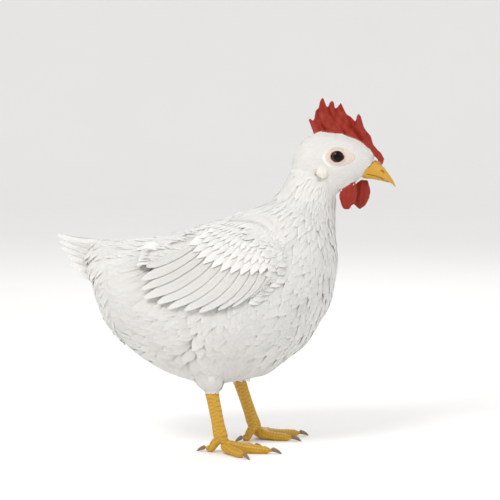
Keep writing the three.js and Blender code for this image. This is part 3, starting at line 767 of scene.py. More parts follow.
def coat(kind, form, roots, seed, heading_at=None, wander=0.1, stretch=1, widen=1, proud=0, bend=BEND):
    """Vanes growing from the roots on a form's outline: they start on the skin and end on the outline."""
    kind = KINDS[kind]
    rng = np.random.default_rng(seed)
    _, measures = coat_at(roots)
    vary = rng.uniform(0.88, 1.12, len(roots))
    shares = row_shares(kind.rows)
    heading_at = heading_at or (lambda p: coat_at(p)[0])
    length = measures[:, 0] * vary * stretch
    path, up = walk(tree_for(form), roots, length, shares, heading_at, wander, seed + 1, bend)
    half = measures[:, 1:2] * vary[:, None] * width_at(kind, shares) * widen
    rise = 1 - (1 - shares) ** kind.ease
    deep = measures[:, 2:3] * rng.uniform(0.92, 1.0, (len(roots), 1))
    lift = -deep * (1 - rise) * 0.95 + proud * MM * rise
    lift += rng.uniform(-0.12, 0.12, (len(roots), 1)) * MM * np.minimum(1, measures[:, 2:3] / (5 * MM))
    return lay_vanes(kind, path, up, half, lift, seed + 2)


# ---------------------------------------------------------------- wing and tail fans
WING = {
    "tips": (  # X and Z on the line of the tips, from the highest feather to the wrist
        (-73, 225.5), (-76.5, 205), (-81, 188.5), (-77.5, 176.5), (-62, 168), (-44, 162.5),
        (-22.5, 159.5), (2.5, 161), (24, 167), (44, 178.5), (59, 193),
    ),
    "elbow": (-6, 249), "wrist": (74, 224), "bow": (0.02, 0.15), "count": 12,
}
TAIL = {
    "tips": ((-173.5, 246), (-176, 236), (-170, 222.5), (-158.5, 205.5), (-139.5, 183)),
    "elbow": (-82, 231), "wrist": (-90, 196), "bow": (0.055, 0.055), "count": 6,
    "gap": 0.35, "thick": 1.8, "spread": 21,
}


def along_tips(tips, share):
    """X and Z at these shares of a smooth line through the points."""
    points = np.asarray(tips, float)
    points = np.vstack([2 * points[0] - points[1], points, 2 * points[-1] - points[-2]])
    at = np.asarray(share, float) * (len(tips) - 1)
    i = np.clip(at.astype(int), 0, len(tips) - 2)
    t = np.clip(at - i, -0.5, 1.5)[..., None]
    a, b, c, d = (points[i + k] for k in range(4))
    curve = b + 0.5 * t * (c - a + t * (2 * a - 5 * b + 4 * c - d + t * (3 * b - a - 3 * c + d)))
    return curve[..., 0], curve[..., 1]


def fan_plane(fan, v, u):
    """X and Z in millimetres of a fan's point: v from its highest feather to its lowest, u along one."""
    root = [fan["elbow"][k] + (fan["wrist"][k] - fan["elbow"][k]) * v for k in (0, 1)]
    tip = along_tips(fan["tips"], v)
    run = [tip[k] - root[k] for k in (0, 1)]
    first, last = fan["bow"]
    bow = (first + (last - first) * v) * np.sin(np.pi * np.clip(u, 0, 1))
    return root[0] + run[0] * u - bow * run[1], root[1] + run[1] * u + bow * run[0]


def fan_places(number, overlap):
    """The middles of feathers side by side across a fan, so that the outer ones end at its edges."""
    half = overlap / number
    return np.linspace(half, 1 - half, number)


STEP = 3.0  # millimetres between the points of a wing's sheet
SHEET = (-100, 96, 140, 284)  # its X and Z range in the solids' millimetres
SHEET_ROUNDS = (152, 8)  # of filling the unknown part, then of smoothing the rest as well


def side_sheet(tree, sign):
    """How far out a form's side is over a grid of X and Z, smoothed, as a function, and where it is known."""
    xs = np.arange(SHEET[0], SHEET[1], STEP)
    zs = np.arange(SHEET[2], SHEET[3], STEP)
    out = np.full((len(xs), len(zs)), np.nan)
    for i, x in enumerate(xs):
        for j, z in enumerate(zs):
            hit = tree.ray_cast(place(x, sign * 200, z), (0, -sign, 0))
            if hit[0]:
                out[i, j] = (hit[0].y - SHIFT.y) * sign / MM
    known = ~np.isnan(out)
    field = np.where(known, out, np.nanmean(out))
    for n in range(sum(SHEET_ROUNDS)):
        padded = np.pad(field, 1, mode="edge")
        mean = (padded[:-2, 1:-1] + padded[2:, 1:-1] + padded[1:-1, :-2] + padded[1:-1, 2:]) / 4
        field = np.where(known, field if n < SHEET_ROUNDS[0] else 0.5 * field + 0.5 * mean, mean)

    def height(x, z):
        a = np.clip((x - SHEET[0]) / STEP, 0, len(xs) - 1.001)
        b = np.clip((z - SHEET[2]) / STEP, 0, len(zs) - 1.001)
        i, j = a.astype(int), b.astype(int)
        a, b = a - i, b - j
        low = field[i, j] * (1 - a) + field[i + 1, j] * a
        high = field[i, j + 1] * (1 - a) + field[i + 1, j + 1] * a
        return low * (1 - b) + high * b

    return height, known


def wing_tree(side):
    """A tree over a wing's three solids."""
    return tree_over([f"wing_{side}_{part}" for part in ("coverts", "secondaries", "primaries")])[0]


def inside_edge(known):
    """Millimetres from each cell of a sheet to the edge of its known part, positive inside."""
    at = np.argwhere(np.ones_like(known))
    inside = known.ravel()
    apart = np.linalg.norm(at[inside][:, None] - at[~inside][None], axis=2) * STEP
    out = np.empty(len(at))
    out[inside], out[~inside] = apart.min(1), -apart.min(0)
    return out.reshape(known.shape)


def wing_surface(side):
    """The surface of a wing: its own outer face along the flights, and the body's outline ahead of them."""
    wing, body = made_here["sheet_" + side], made_here["flank_" + side]
    sign = SIDES[side]

    def surface(v, u):
        x, z = fan_plane(WING, v, u)
        share = ramp(u, -0.12, 0.1)
        return np.stack([x, sign * (wing(x, z) * share + body(x, z) * (1 - share)), z], -1)

    return surface


def tail_surface(side):
    sign = SIDES[side]

    def surface(v, u):
        x, z = fan_plane(TAIL, v, u)
        out = TAIL["gap"] + TAIL["thick"] / 2 + TAIL["spread"] * np.maximum(v, 0) ** 0.8 * (0.45 + 0.55 * u)
        return np.stack([x, sign * out, z], -1)

    return surface


TIP_SIDE = 0.4  # the tips of fanned feathers lie this far towards their lower edges
PROBE = 0.004  # how far along and across a fan the surface's slope is taken


def fan_vanes(kind, surface, side, middles, pitch, overlap, start, end, lift, tilt, seed, notch, sunk=0.0):
    """Long vanes side by side in a fan. middles are their places across it, start and end their reach along.

    Their roots lie deeper than their tips by the depth sunk. Gives the vanes and their middles as roots.
    """
    kind = KINDS[kind]
    rng = np.random.default_rng(seed)
    sign = SIDES[side]
    across, along, layer, faces = vane_shell(kind.columns, kind.rows)
    middles = middles[:, None]
    t = row_shares(kind.rows)[np.rint(along * kind.rows).astype(int)]
    rough = 1 + kind.rough * rng.uniform(-1, 1, (len(middles), len(across))) * (layer == 0)
    wide = across * (width_at(kind, t) * rough) * pitch * overlap
    v = middles + wide * rng.uniform(0.94, 1.06, middles.shape)
    end = end * rng.uniform(0.975, 1.0, middles.shape)
    u = start + (end - start) * t * (1 - notch * np.abs(across - TIP_SIDE) ** 2.2 * t**2)
    along_way = unit(surface(v, u + PROBE) - surface(v, u - PROBE))
    across_way = unit(surface(v + PROBE, u) - surface(v - PROBE, u))
    up = unit(np.cross(across_way, along_way)) * sign
    up *= np.where((up[..., 1] * sign).mean() < 0, -1, 1)
    rachis = (np.abs(across) < 0.01) * 0.35 * (1 - 0.7 * t)
    high = np.reshape(lift, (-1, 1)) - sunk * (1 - t) ** 1.3 + tilt * across
    high = high + layer * (kind.thick / 2 + rachis) * (1 - 0.4 * t)
    co = places(surface(v, u) + up * high[..., None])
    if np.linalg.det(np.stack([across_way[0, 0], along_way[0, 0], up[0, 0]])) < 0:
        faces = faces[:, ::-1]
    return packed(co, faces, across, along), co.mean(1)


# ---------------------------------------------------------------- shading
class Nodes:
    """Adds nodes to a shader tree. What they are given is a socket to link or a value to set."""

    def __init__(self, tree):
        self.tree = tree

    def wire(self, socket, value):
        if isinstance(value, bpy.types.NodeSocket):
            self.tree.links.new(value, socket)
        else:
            socket.default_value = value

    def add(self, kind, **given):
        """A node with its sockets, or else its own settings, by name with underscores for spaces."""
        made = self.tree.nodes.new("ShaderNode" + kind)
        for key, value in given.items():
            label = key.replace("_", " ")
            if label in made.inputs:
                self.wire(made.inputs[label], value)
            else:
                setattr(made, key, value)
        return made

    def calc(self, operation, *values, kind="Math"):
        made = self.add(kind, operation=operation)
        for socket, value in zip(made.inputs, values):
            self.wire(socket, value)
        return next(s for s in made.outputs if s.enabled)

    def mix(self, factor, first, second, blend="MIX"):
        made = self.add("Mix", data_type="RGBA", blend_type=blend)
        for k, value in ((0, factor), (6, first), (7, second)):
            self.wire(made.inputs[k], value)
        return made.outputs[2]

    def ease(self, value, start, end):
        """0 where the value is start, 1 where it is end."""
        ends = {"From_Min": start, "From_Max": end}
        return self.add("MapRange", interpolation_type="SMOOTHSTEP", Value=value, **ends).outputs[0]

    def spot(self):
        return self.add("TexCoord").outputs["Object"]

    def noise(self, scale, detail):
        return self.add("TexNoise", Scale=scale, Detail=detail, Vector=self.spot()).outputs[0]

    def weight(self, name):
        return self.add("Attribute", attribute_name=name).outputs["Fac"]

    def on_vane(self):
        """How far across a vane and along it each place is."""
        return self.add("SeparateXYZ", Vector=self.add("UVMap", uv_map="vane").outputs[0]).outputs[:2]

    def finish(self, base, height=None, strength=0.3, distance=0.0004, **constants):
        """Gives the Principled shader its colour, its relief and its constants."""
        inputs = self.tree.nodes["Principled BSDF"].inputs
        self.wire(inputs["Base Color"], base)
        if height is not None:
            bump = self.add("Bump", Strength=strength, Distance=distance, Height=height)
            self.wire(inputs["Normal"], bump.outputs[0])
        for key, value in constants.items():
            inputs[key.replace("_", " ")].default_value = value


def new_material(name):
    material = bpy.data.materials.new(name)
    material.use_nodes = True
    return material, Nodes(material.node_tree)


def shared_group(name, inputs, outputs, fill):
    """A shader node group, built once and wired by fill. inputs have their defaults, outputs their kinds."""
    if name not in made_here:
        group = bpy.data.node_groups.new(name, "ShaderNodeTree")
        for label, default in inputs.items():
            kind = "NodeSocketFloat" if isinstance(default, float) else "NodeSocketColor"
            group.interface.new_socket(label, in_out="INPUT", socket_type=kind).default_value = default
        for label, kind in outputs.items():
            group.interface.new_socket(label, in_out="OUTPUT", socket_type="NodeSocket" + kind)
        nodes = Nodes(group)
        given = group.nodes.new("NodeGroupInput").outputs
        end = group.nodes.new("NodeGroupOutput")
        for socket, value in zip(end.inputs, fill(nodes, given)):
            nodes.wire(socket, value)
        made_here[name] = group
    return made_here[name]


def fill_barbs(nodes, given):
    """Fine slanting barbs on both sides of a vane's shaft, with some broken edges."""
    across, along = nodes.on_vane()
    off = nodes.calc("ABSOLUTE", nodes.calc("SUBTRACT", across, 0.5))
    run = nodes.calc("SUBTRACT", along, nodes.calc("MULTIPLY", off, 0.45))
    wave = nodes.calc("SINE", nodes.calc("MULTIPLY", run, given["Barbs"]))
    height = nodes.calc("MULTIPLY_ADD", wave, 0.5, nodes.noise(350.0, 3.0))
    return height, nodes.calc("LESS_THAN", off, given["Shaft width"]), nodes.calc("POWER", along, 1.4)


def fill_grain(nodes, given):
    """A mottle between two colours, and the height that goes with it."""
    noise = nodes.noise(given["Scale"], 4.0)
    return nodes.mix(noise, given["Dark"], given["Light"]), noise


BARBS = (
    {"Barbs": 330.0, "Shaft width": 0.02}, {"Height": "Float", "Shaft": "Float", "Along": "Float"}, fill_barbs
)
GRAIN = (
    {"Scale": 200.0, "Dark": (0.5, 0.5, 0.5, 1), "Light": (0.8, 0.8, 0.8, 1)},
    {"Colour": "Color", "Height": "Float"}, fill_grain,
)


def scaled(tint, *factors):
    """A colour with its channels scaled by one factor or by three."""
    return (*[min(1.0, c * f) for c, f in zip(tint, factors * 3)], 1.0)


def grain(nodes, scale, tint, dark=0.8, light=1.1):
    """A copy of the shared grain about one colour."""
    group = shared_group("grain", *GRAIN)
    shades = {"Dark": scaled(tint, dark), "Light": scaled(tint, light)}
    return nodes.add("Group", node_tree=group, Scale=scale, **shades).outputs


def plumage_material(name, colours, barbs, shaft, level, relief):
    material, nodes = new_material(name)
    group = shared_group("barbs", *BARBS)
    vane = nodes.add("Group", node_tree=group, Barbs=barbs, Shaft_width=shaft).outputs
    shade = nodes.calc("MULTIPLY_ADD", nodes.weight("tone"), 0.06, 0.94)
    # level is the look's brightness, lowered on the flights as painted shade and raised on the down as
    # painted light.
    cloud = nodes.calc("MULTIPLY_ADD", nodes.noise(22.0, 2.0), 0.12, level)
    both = nodes.calc("MULTIPLY", shade, cloud)
    value = nodes.add("CombineColor", Red=both, Green=both, Blue=both).outputs[0]
    # Painted shade: each feather is darker and warmer towards its root, standing in for the shade where
    # feathers lie under one another.
    base = nodes.mix(vane["Along"], (*colours.base, 1), (*colours.tip, 1))
    base = nodes.mix(1.0, base, value, "MULTIPLY")
    marked = nodes.mix(nodes.calc("MULTIPLY", vane["Shaft"], 0.35), base, (*colours.shaft, 1))
    nodes.finish(
        marked, vane["Height"], relief, Roughness=0.62, Specular_IOR_Level=0.3,
        Sheen_Weight=0.2, Sheen_Roughness=0.45,
        Subsurface_Weight=0.3, Subsurface_Radius=(1.0, 0.95, 0.9), Subsurface_Scale=0.003,
    )
    return material


FEATHER_LOOKS = {  # barbs along a vane, half width of the shaft, brightness, depth of the barbs. The plumage is one white: the brightness is lower on the flights as painted shade and higher on the down as painted light
    "plumage": (330.0, 0.02, 0.93, 0.15),
    "flight": (520.0, 0.014, 0.82, 0.4),
    "down": (60.0, 0.0, 1.02, 0.05),
}


def feather_material(look):
    """The one material of that look."""
    if look not in made_here:
        made_here[look] = plumage_material("hen_" + look, bpy.context.scene.hen_plumage, *FEATHER_LOOKS[look])
    return made_here[look]


def skin_material(colours):
    """The one skin: pale under the feathers; face, comb, lobes and feet by the skin's own weights."""
    material, nodes = new_material("hen_skin")
    plain = grain(nodes, 260.0, colours.body, 0.94, 1.0)
    shown = plain["Colour"]
    tints = {"face": colours.face, "red": colours.comb, "lobe": colours.lobe, "scaly": colours.foot}
    for key, tint in tints.items():
        shown = nodes.mix(nodes.weight(key), shown, grain(nodes, 260.0, tint, 0.72, 1.15)["Colour"])
    cells = nodes.add("TexVoronoi", Scale=900.0, feature="SMOOTH_F1", Vector=nodes.spot())
    height = nodes.calc("MULTIPLY_ADD", plain["Height"], 0.8, cells.outputs["Distance"])
    height = nodes.calc("MULTIPLY", height, nodes.calc("SUBTRACT", 1.0, nodes.weight("lobe")))
    nodes.finish(
        shown, height, 0.5, 0.0006, Roughness=0.55, Specular_IOR_Level=0.35, Subsurface_Weight=0.15,
        Subsurface_Radius=(1.0, 0.35, 0.2), Subsurface_Scale=0.003,
    )
    return material


def plain_material(name, tint, rough, scale, depth, vary=0.2, coat_weight=0.0):
    """Horn and the like: one colour with a grain in colour and height."""
    material, nodes = new_material(name)
    mottle = grain(nodes, scale, tint, 1 - vary, 1 + vary / 2)
    nodes.finish(mottle["Colour"], mottle["Height"], 0.3, depth, Roughness=rough, Coat_Weight=coat_weight)
    return material


def scale_material(tint):
    """Horny scales: darker at their roots as painted shade, where each lies under the scale before, worn
    paler at their tips.
    """
    material, nodes = new_material("hen_scale")
    across, along = nodes.on_vane()
    mottle = grain(nodes, 240.0, tint, 0.85, 1.0)
    dark, pale = scaled(tint, 0.74, 0.66, 0.6), scaled(tint, 1.1, 1.14, 1.7)
    off = nodes.calc("ABSOLUTE", nodes.calc("SUBTRACT", across, 0.5))
    # Painted shade: deep darkens each scale's root towards the colour dark, where it lies under the scale
    # before.
    deep = nodes.ease(nodes.calc("MULTIPLY_ADD", mottle["Height"], 0.1, along), 0.52, 0.34)
    worn = nodes.ease(nodes.calc("MULTIPLY_ADD", off, 0.2, along), 0.85, 1.0)
    base = nodes.mix(nodes.calc("MULTIPLY", nodes.weight("tone"), 0.2), mottle["Colour"], pale)
    base = nodes.mix(deep, base, dark)
    base = nodes.mix(nodes.calc("MULTIPLY", worn, 0.4), base, pale)
    nodes.finish(base, mottle["Height"], 0.4, Roughness=0.42, Coat_Weight=0.1)
    return material


def eye_material(colours, centre, axis, side):
    """Rings about the eye's axis: pupil, iris and a dark rim, under a wet coat."""
    material, nodes = new_material("eye_" + side)
    off = nodes.calc("SUBTRACT", nodes.spot(), centre, kind="VectorMath")
    cross = nodes.calc("CROSS_PRODUCT", off, axis, kind="VectorMath")
    out = nodes.calc("MULTIPLY", nodes.calc("LENGTH", cross, kind="VectorMath"), 1 / (10 * MM))
    rough = nodes.calc("MULTIPLY_ADD", nodes.noise(900.0, 2.0), 0.05, -0.025)
    bands = nodes.add("ValToRGB")
    nodes.wire(bands.inputs[0], nodes.calc("ADD", out, rough))
    black = (0.002, 0.0016, 0.0014)
    rim = tuple(c * 0.25 for c in colours.iris)
    inner = colours.iris_inner
    stops = ((0.0, black), (0.53, black), (0.56, inner), (0.63, colours.iris), (0.69, rim), (0.73, black))
    band = bands.color_ramp.elements
    while len(band) < len(stops):
        band.new(0.5)
    for element, (at, tint) in zip(band, stops):
        element.position = at
        element.color = (*tint, 1)
    nodes.finish(
        bands.outputs[0], Roughness=0.3, Specular_IOR_Level=0.0, Coat_Weight=0.5, Coat_Roughness=0.02,
        Coat_IOR=1.38,
    )
    return material


# ---------------------------------------------------------------- settings
def colour(name, description, default):
    return FloatVectorProperty(
        name=name, description=description, subtype="COLOR", size=3, min=0, max=1, default=default
    )


class HenPlumageSettings(bpy.types.PropertyGroup):
    tip: colour("Tip", "Colour of a feather towards its tip", (0.86, 0.85, 0.83))
    # base is darker than tip as painted shade at the feathers' roots, where they lie under one another.
    base: colour("Base", "Colour of a feather towards its root", (0.80, 0.78, 0.74))
    shaft: colour("Shaft", "Colour of a feather's shaft", (0.78, 0.75, 0.66))
    seed: IntProperty(name="Seed", description="Which of the possible coats is built", default=7, min=0)


class HenFleshSettings(bpy.types.PropertyGroup):
    body: colour("Body", "Skin under the feathers", (0.78, 0.75, 0.71))
    face: colour("Face", "Bare skin about the eye", (0.68, 0.58, 0.53))
    comb: colour("Comb", "Comb and wattles", (0.285, 0.015, 0.003))
    lobe: colour("Lobe", "Ear lobes", (0.74, 0.70, 0.64))
    foot: colour("Foot", "Skin of shanks and toes", (0.56, 0.31, 0.014))
    beak: colour("Beak", "Horn of the beak", (0.54, 0.28, 0.012))
    claw: colour("Claw", "Horn of the claws", (0.22, 0.14, 0.08))
    iris: colour("Iris", "Outer iris", (0.075, 0.026, 0.010))
    iris_inner: colour("Inner iris", "Iris beside the pupil", (0.13, 0.05, 0.018))


class HenStageSettings(bpy.types.PropertyGroup):
    distance: FloatProperty(
        name="Distance", description="From the camera to the hen", subtype="DISTANCE", default=2.2
    )
    elevation: FloatProperty(
        name="Elevation", description="Of the camera above level", subtype="ANGLE", default=math.radians(4.5)
    )
    floor: colour("Floor", "Colour of floor and backdrop", (0.89, 0.885, 0.875))


# ---------------------------------------------------------------- operators
NECK_END = 262  # the height above which the skin is the head's


class HenSkin(bpy.types.Operator):
    """Builds the skin from the solids of flesh, inside them by the depth of the coat"""

    bl_idname = "hen.skin"
    bl_label = "Skin"

    def execute(self, context):
        build_forms()
        skin = united("skin", [shrunk_body(), shrunk_head(), shrunk_leg("right"), shrunk_leg("left")])
        mesh = skin.data
        mesh.shade_smooth()
        co = points_of(mesh)
        legs = leg_nodes("right") + leg_nodes("left")
        owner, apart = nearest_solid(FACE_NODES + ["neck"] + legs, co)
        head = (own(co)[2] > NECK_END) & (apart < 5 * MM)
        add_values(mesh, "red", blur(mesh, head & np.isin(owner, (1, 2, 3)) & (apart < 4 * MM), 1))
        add_values(mesh, "lobe", blur(mesh, head & np.isin(owner, (4, 5)), 1))
        add_values(mesh, "scaly", blur(mesh, (owner > 8) & (apart < 2.5 * MM), 1))
        add_values(mesh, "face", blur(mesh, head & (bare_face(co) > 0.5), 1))
        made_here["skin"] = mesh
        build_unwrap()
        finish_piece(skin, skin_material(context.scene.hen_flesh), node=HEAD_NODES + CORE_NODES + legs)
        return {"FINISHED"}


class HenEyes(bpy.types.Operator):
    """Builds the two eyes"""

    bl_idname = "hen.eyes"
    bl_label = "Eyes"

    def execute(self, context):
        for side, sign in SIDES.items():
            low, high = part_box("eye_" + side)
            centre = (low + high) / 2
            bm = bmesh.new()
            bmesh.ops.create_uvsphere(bm, u_segments=48, v_segments=32, radius=(high.x - low.x) / 2)
            bmesh.ops.translate(bm, verts=bm.verts, vec=centre)
            mesh = mesh_from(bm, "eyeball_" + side)
            mesh.shade_smooth()
            axis = Vector((0.1, sign, 0.03)).normalized()
            material = eye_material(context.scene.hen_flesh, centre, axis, side)
            finish_piece(add_object("eyeball_" + side, mesh), material, node="eye_" + side, slot="eye")
        return {"FINISHED"}


class HenHorn(bpy.types.Operator):
    """Builds the beak's two halves and the claws"""

    bl_idname = "hen.horn"
    bl_label = "Beak and claws"

    def execute(self, context):
        flesh = context.scene.hen_flesh
        horn = plain_material("hen_beak", tuple(flesh.beak), 0.38, 120, 0.0003, 0.15, 0.2)
        nail = plain_material("hen_claw", tuple(flesh.claw), 0.45, 200, 0.0003, 0.3, 0.1)
        pieces = [(f"horn_{half}", f"beak_{half}", 0.4, 12, horn, "beak") for half in ("upper", "lower")]
        for side in SIDES:
            pieces += [(f"nail_{toe}_{side}", f"claw_{toe}_{side}", 0.35, 8, nail, "claw") for toe in TOES]
        for name, node, voxel, rounds, material, slot in pieces:
            mesh = closed_over([node], voxel, rounds)
            if node == "beak_upper":
                carve_nostrils(mesh)
            mesh.shade_smooth()
            finish_piece(add_object(name, mesh), material, node=node, slot=slot)
        return {"FINISHED"}


NOSTRIL = {"at": (187.5, 309.5), "turn": -50, "long": 2.6, "wide": 0.8, "deep": 2.2}


def carve_nostrils(mesh):
    """A slanting slot with a raised lip above it on each side of the beak."""
    co, normals = points_of(mesh), normals_of(mesh)
    x, _, z = own(co)
    x, z = x - NOSTRIL["at"][0], z - NOSTRIL["at"][1]
    a = math.radians(NOSTRIL["turn"])
    along, across = x * math.cos(a) + z * math.sin(a), z * math.cos(a) - x * math.sin(a)
    across = across + 0.12 * along**2
    flank = ramp(np.abs(normals[:, 1]), 0.3, 0.6)
    slot = np.exp(-((along / NOSTRIL["long"]) ** 4) - (across / NOSTRIL["wide"]) ** 4)
    lip = np.exp(-((along / (NOSTRIL["long"] + 0.8)) ** 4) - ((across - 1.5) / 0.8) ** 2)
    co += normals * ((lip * 0.35 - slot * NOSTRIL["deep"]) * flank * MM)[:, None]
    set_points(mesh, co)


def straight(way):
    """A heading that is the same everywhere."""
    way = unit(np.array(way, float))
    return lambda points: np.broadcast_to(way, points.shape)


TOE_PLAN = {"middle": (0, 58), "inner": (36, 43), "outer": (-48, 45), "hind": (168, 19)}  # degrees, mm
TOE_ROWS = ((0, 4.4, 0.6, 3.9), (-3.9, 2.0, 0.4, 3.1), (3.9, 2.0, 0.4, 3.1))  # aside, half, lift, spacing
LEG_TURN = {"right": 8, "left": 24}
SHANK_ROWS = (  # columns round a shank: turn from its front in degrees, half width, spacing, lift
    ((-24, 24), 4.6, 5.6, 0.75),
    ((-66, 66), 2.9, 4.2, 0.5),
    ((-97, 97), 2.5, 3.8, 0.45),
    ((-128, 128), 2.7, 4.0, 0.45),
    ((-163, 163), 3.2, 5.0, 0.6),
)


def steps(start, end, stride):
    """Numbers from start by strides, short of end."""
    while (end - start) * stride > 0:
        yield start
        start += stride


class HenScales(bpy.types.Operator):
    """Builds the scales of shanks and toes"""

    bl_idname = "hen.scales"
    bl_label = "Scales"

    def execute(self, context):
        material = scale_material(tuple(context.scene.hen_flesh.foot))
        kind = KINDS["scute"]
        shares = row_shares(kind.rows)
        tree = tree_for("skin")
        for side, sign in SIDES.items():
            parts, roots = [], []

            def lay(rays, least, length, half, lift, way, seed):
                """A row of scales where rays meet the skin, if it faces up by least or more."""
                found = [tree.ray_cast(*ray) for ray in rays]
                at = np.array([hit[0] for hit in found if hit[0] and hit[1].z > least])
                if len(at):
                    lengths = np.full(len(at), length * MM)
                    path, up = walk(tree, at, lengths, shares, straight(way), 0.02, seed)
                    wide = np.full((len(at), 1), half * MM) * width_at(kind, shares)
                    rise = (0.05 + (lift - 0.05) * shares**0.7) * np.ones((len(at), 1)) * MM
                    parts.append(lay_vanes(kind, path, up, wide, rise, seed, wrap=tree))
                    roots.append(at)

            leg = LEGS[side]
            ankle, cuff = Vector(leg["ankle"]), leg["cuff"]
            turn = math.radians(LEG_TURN[side]) * sign
            for angles, half, spacing, lift in SHANK_ROWS:
                for k, angle in enumerate(angles):
                    a = math.radians(angle) + turn
                    drops = steps(cuff + 3.0 + 0.5 * spacing * k, 13, -spacing)
                    starts = [place(*leg_point(side, 1 + (cuff - drop) / (cuff - ankle.z))) for drop in drops]
                    rays = [(start, (math.cos(a), math.sin(a), 0)) for start in starts]
                    lay(rays, -2, spacing * 1.5, half, lift, ankle - Vector(leg["hock"]), 60 + k)
            for angle, length in TOE_PLAN.values():
                a = turn - sign * math.radians(angle)
                ahead, aside = Vector((math.cos(a), math.sin(a), 0)), Vector((-math.sin(a), math.cos(a), 0))
                for off, half, lift, spacing in TOE_ROWS:
                    runs = steps(7.0, length - 1, spacing)
                    spots = [place(*(ankle + ahead * run + aside * off)) for run in runs]
                    rays = [((spot.x, spot.y, 0.035), (0, 0, -1)) for spot in spots]
                    lay(rays, 0.1, spacing * 1.45, half, lift, ahead, 70)
            plumage("scales_" + side, parts, material, np.concatenate(roots), slot="scales", seed=61)
        return {"FINISHED"}


BODY_TRACTS = {  # name: kind of vane, seed, wander, millimetres proud at the tips, divisor of the bend
    "neck": ("hackle", 11, 0.1, 0.0, 1),
    "breast": ("contour", 12, 0.1, 0.0, 1),
    "back": ("hackle", 13, 0.1, 0.0, 1),
    "belly": ("contour", 14, 0.1, 0.0, 1),
    "flanks": ("contour", 15, 0.1, 0.0, 1),
    "rump": ("fluff", 16, 0.28, 1.6, 1),
    "thigh_right": ("contour", 17, 0.1, 0.0, 3),
    "thigh_left": ("contour", 18, 0.1, 0.0, 3),
}
WINGED = ("breast", "flanks", "belly", "back")  # tracts that a wing may cover
TRACT_NODES = CORE_NODES + ["head"]
HACKLE_START = 12  # the hackle begins this far below the head
LOBE = (118.5, 307.5)  # X and Z of the ear lobes' middles


def tract_of(points):
    """The name of the tract that each point of the body's outline belongs to."""
    owner, _ = nearest_solid(TRACT_NODES, points)
    _, to_head = nearest_solid(["head"], points)
    x, _, z = own(points)
    names = np.full(len(points), "flanks", dtype="<U24")
    names[x > 45] = "breast"
    names[(z < 100) & (x <= 45)] = "belly"
    names[(z > 222) & (x <= 60)] = "back"
    for i, name in enumerate(TRACT_NODES[1:], 1):
        names[owner == i] = name
    names[(names == "neck") & (to_head < HACKLE_START * MM)] = "head"
    return names


def cuff_roots(side):
    """Roots of the short plumes that hang over the top of the shank."""
    low, high = (LEGS[side]["cuff"] + 9) * MM, (LEGS[side]["cuff"] + 38) * MM
    return sample(made_here["cuff_" + side], lambda p: (p[:, 2] > low) & (p[:, 2] < high), 0.8, seed=71)


class HenPlumage(bpy.types.Operator):
    """Builds the contour feathers of head, neck, body and thighs"""

    bl_idname = "hen.plumage"
    bl_label = "Body feathers"

    def execute(self, context):
        shift = context.scene.hen_plumage.seed
        for name, (kind, seed, wander, proud, stiff) in BODY_TRACTS.items():
            roots = sample(made_here["body"], lambda p, name=name: tract_of(p) == name, seed=seed)
            if name in WINGED:
                roots = roots[~under_wing(roots)]
            side = name.partition("_")[2]
            if side:
                roots = roots[roots[:, 2] > (LEGS[side]["cuff"] + 30) * MM]
            lots = [coat(kind, "body", roots, seed + shift, wander=wander, proud=proud, bend=BEND / stiff)]
            if side:
                low = cuff_roots(side)
                form = "cuff_" + side
                lots.append(coat("contour", form, low, seed + 70, wander=0.12, widen=0.8, proud=0.4))
                roots = np.concatenate([roots, low])
            plumage("plumage_" + name, lots, feather_material("plumage"), roots, seed=seed)
        lots, roots = [], []
        for form, keep, seed in (("head", upper_head, 20), ("nape", lower_head, 22)):
            roots.append(sample(made_here[form], keep, seed=seed))
            lots.append(coat("bristle", form, roots[-1], seed + 1))
        plumage("plumage_head", lots, feather_material("down"), np.concatenate(roots), seed=20)
        return {"FINISHED"}


def feathered(points):
    """Which of the points on head and upper neck bear feathers, and how far they are from the neck."""
    wattles = ["wattle_right", "wattle_left"]
    owner, _ = nearest_solid(["head", "neck", "comb"] + wattles + HORN_NODES + EYE_NODES, points)
    _, to_wattle = nearest_solid(wattles, points)
    _, to_neck = nearest_solid(["neck"], points)
    x, _, z = own(points)
    off_lobe = np.hypot((x - LOBE[0]) / 5.5, (z - LOBE[1]) / 7) > 1
    return (owner < 2) & (from_face(points) > 0.1) & (to_wattle > 1.2 * MM) & off_lobe, to_neck


def upper_head(points):
    """Where the feathers of the head grow that follow its own form."""
    plain, to_neck = feathered(points)
    return plain & (to_neck > 9 * MM) & (nearest_solid(HEAD_NODES, points)[0] < 4)


def lower_head(points):
    """Where they grow that run on over the top of the neck."""
    plain, to_neck = feathered(points)
    return plain & (to_neck <= 9 * MM) & (nearest_solid(["head"], points)[1] < (HACKLE_START + 2) * MM)


def wing_depth(points, side):
    """How far inside the edge of a wing each point is, in millimetres, seen from that side."""
    x, _, z = own(points)
    depth = made_here["edge_" + side]
    i = np.clip(((x - SHEET[0]) / STEP).astype(int), 0, depth.shape[0] - 1)
    j = np.clip(((z - SHEET[2]) / STEP).astype(int), 0, depth.shape[1] - 1)
    return depth[i, j]


def under_wing(points):
    """Which of the points lie well under a wing."""
    x, y, z = own(points)
    hidden = np.zeros(len(points), bool)
    for side, sign in SIDES.items():
        out = made_here["sheet_" + side](x, z)
        hidden |= (wing_depth(points, side) > 9) & (y * sign > 20) & (y * sign < out + 1)
    return hidden


MANTLE = {"rear": -80, "front": 16, "wide": 93, "step": 3}  # of the grid over the back, in millimetres


def hull_over(y, z):
    """The line drawn taut over a profile from above."""
    over = []
    for point in zip(y, z):
        while len(over) > 1:
            (a, low), (b, high) = over[-2:]
            if (high - low) * (point[0] - a) > (point[1] - low) * (b - a):
                break
            over.pop()
        over.append(point)
    return np.interp(y, *zip(*over))


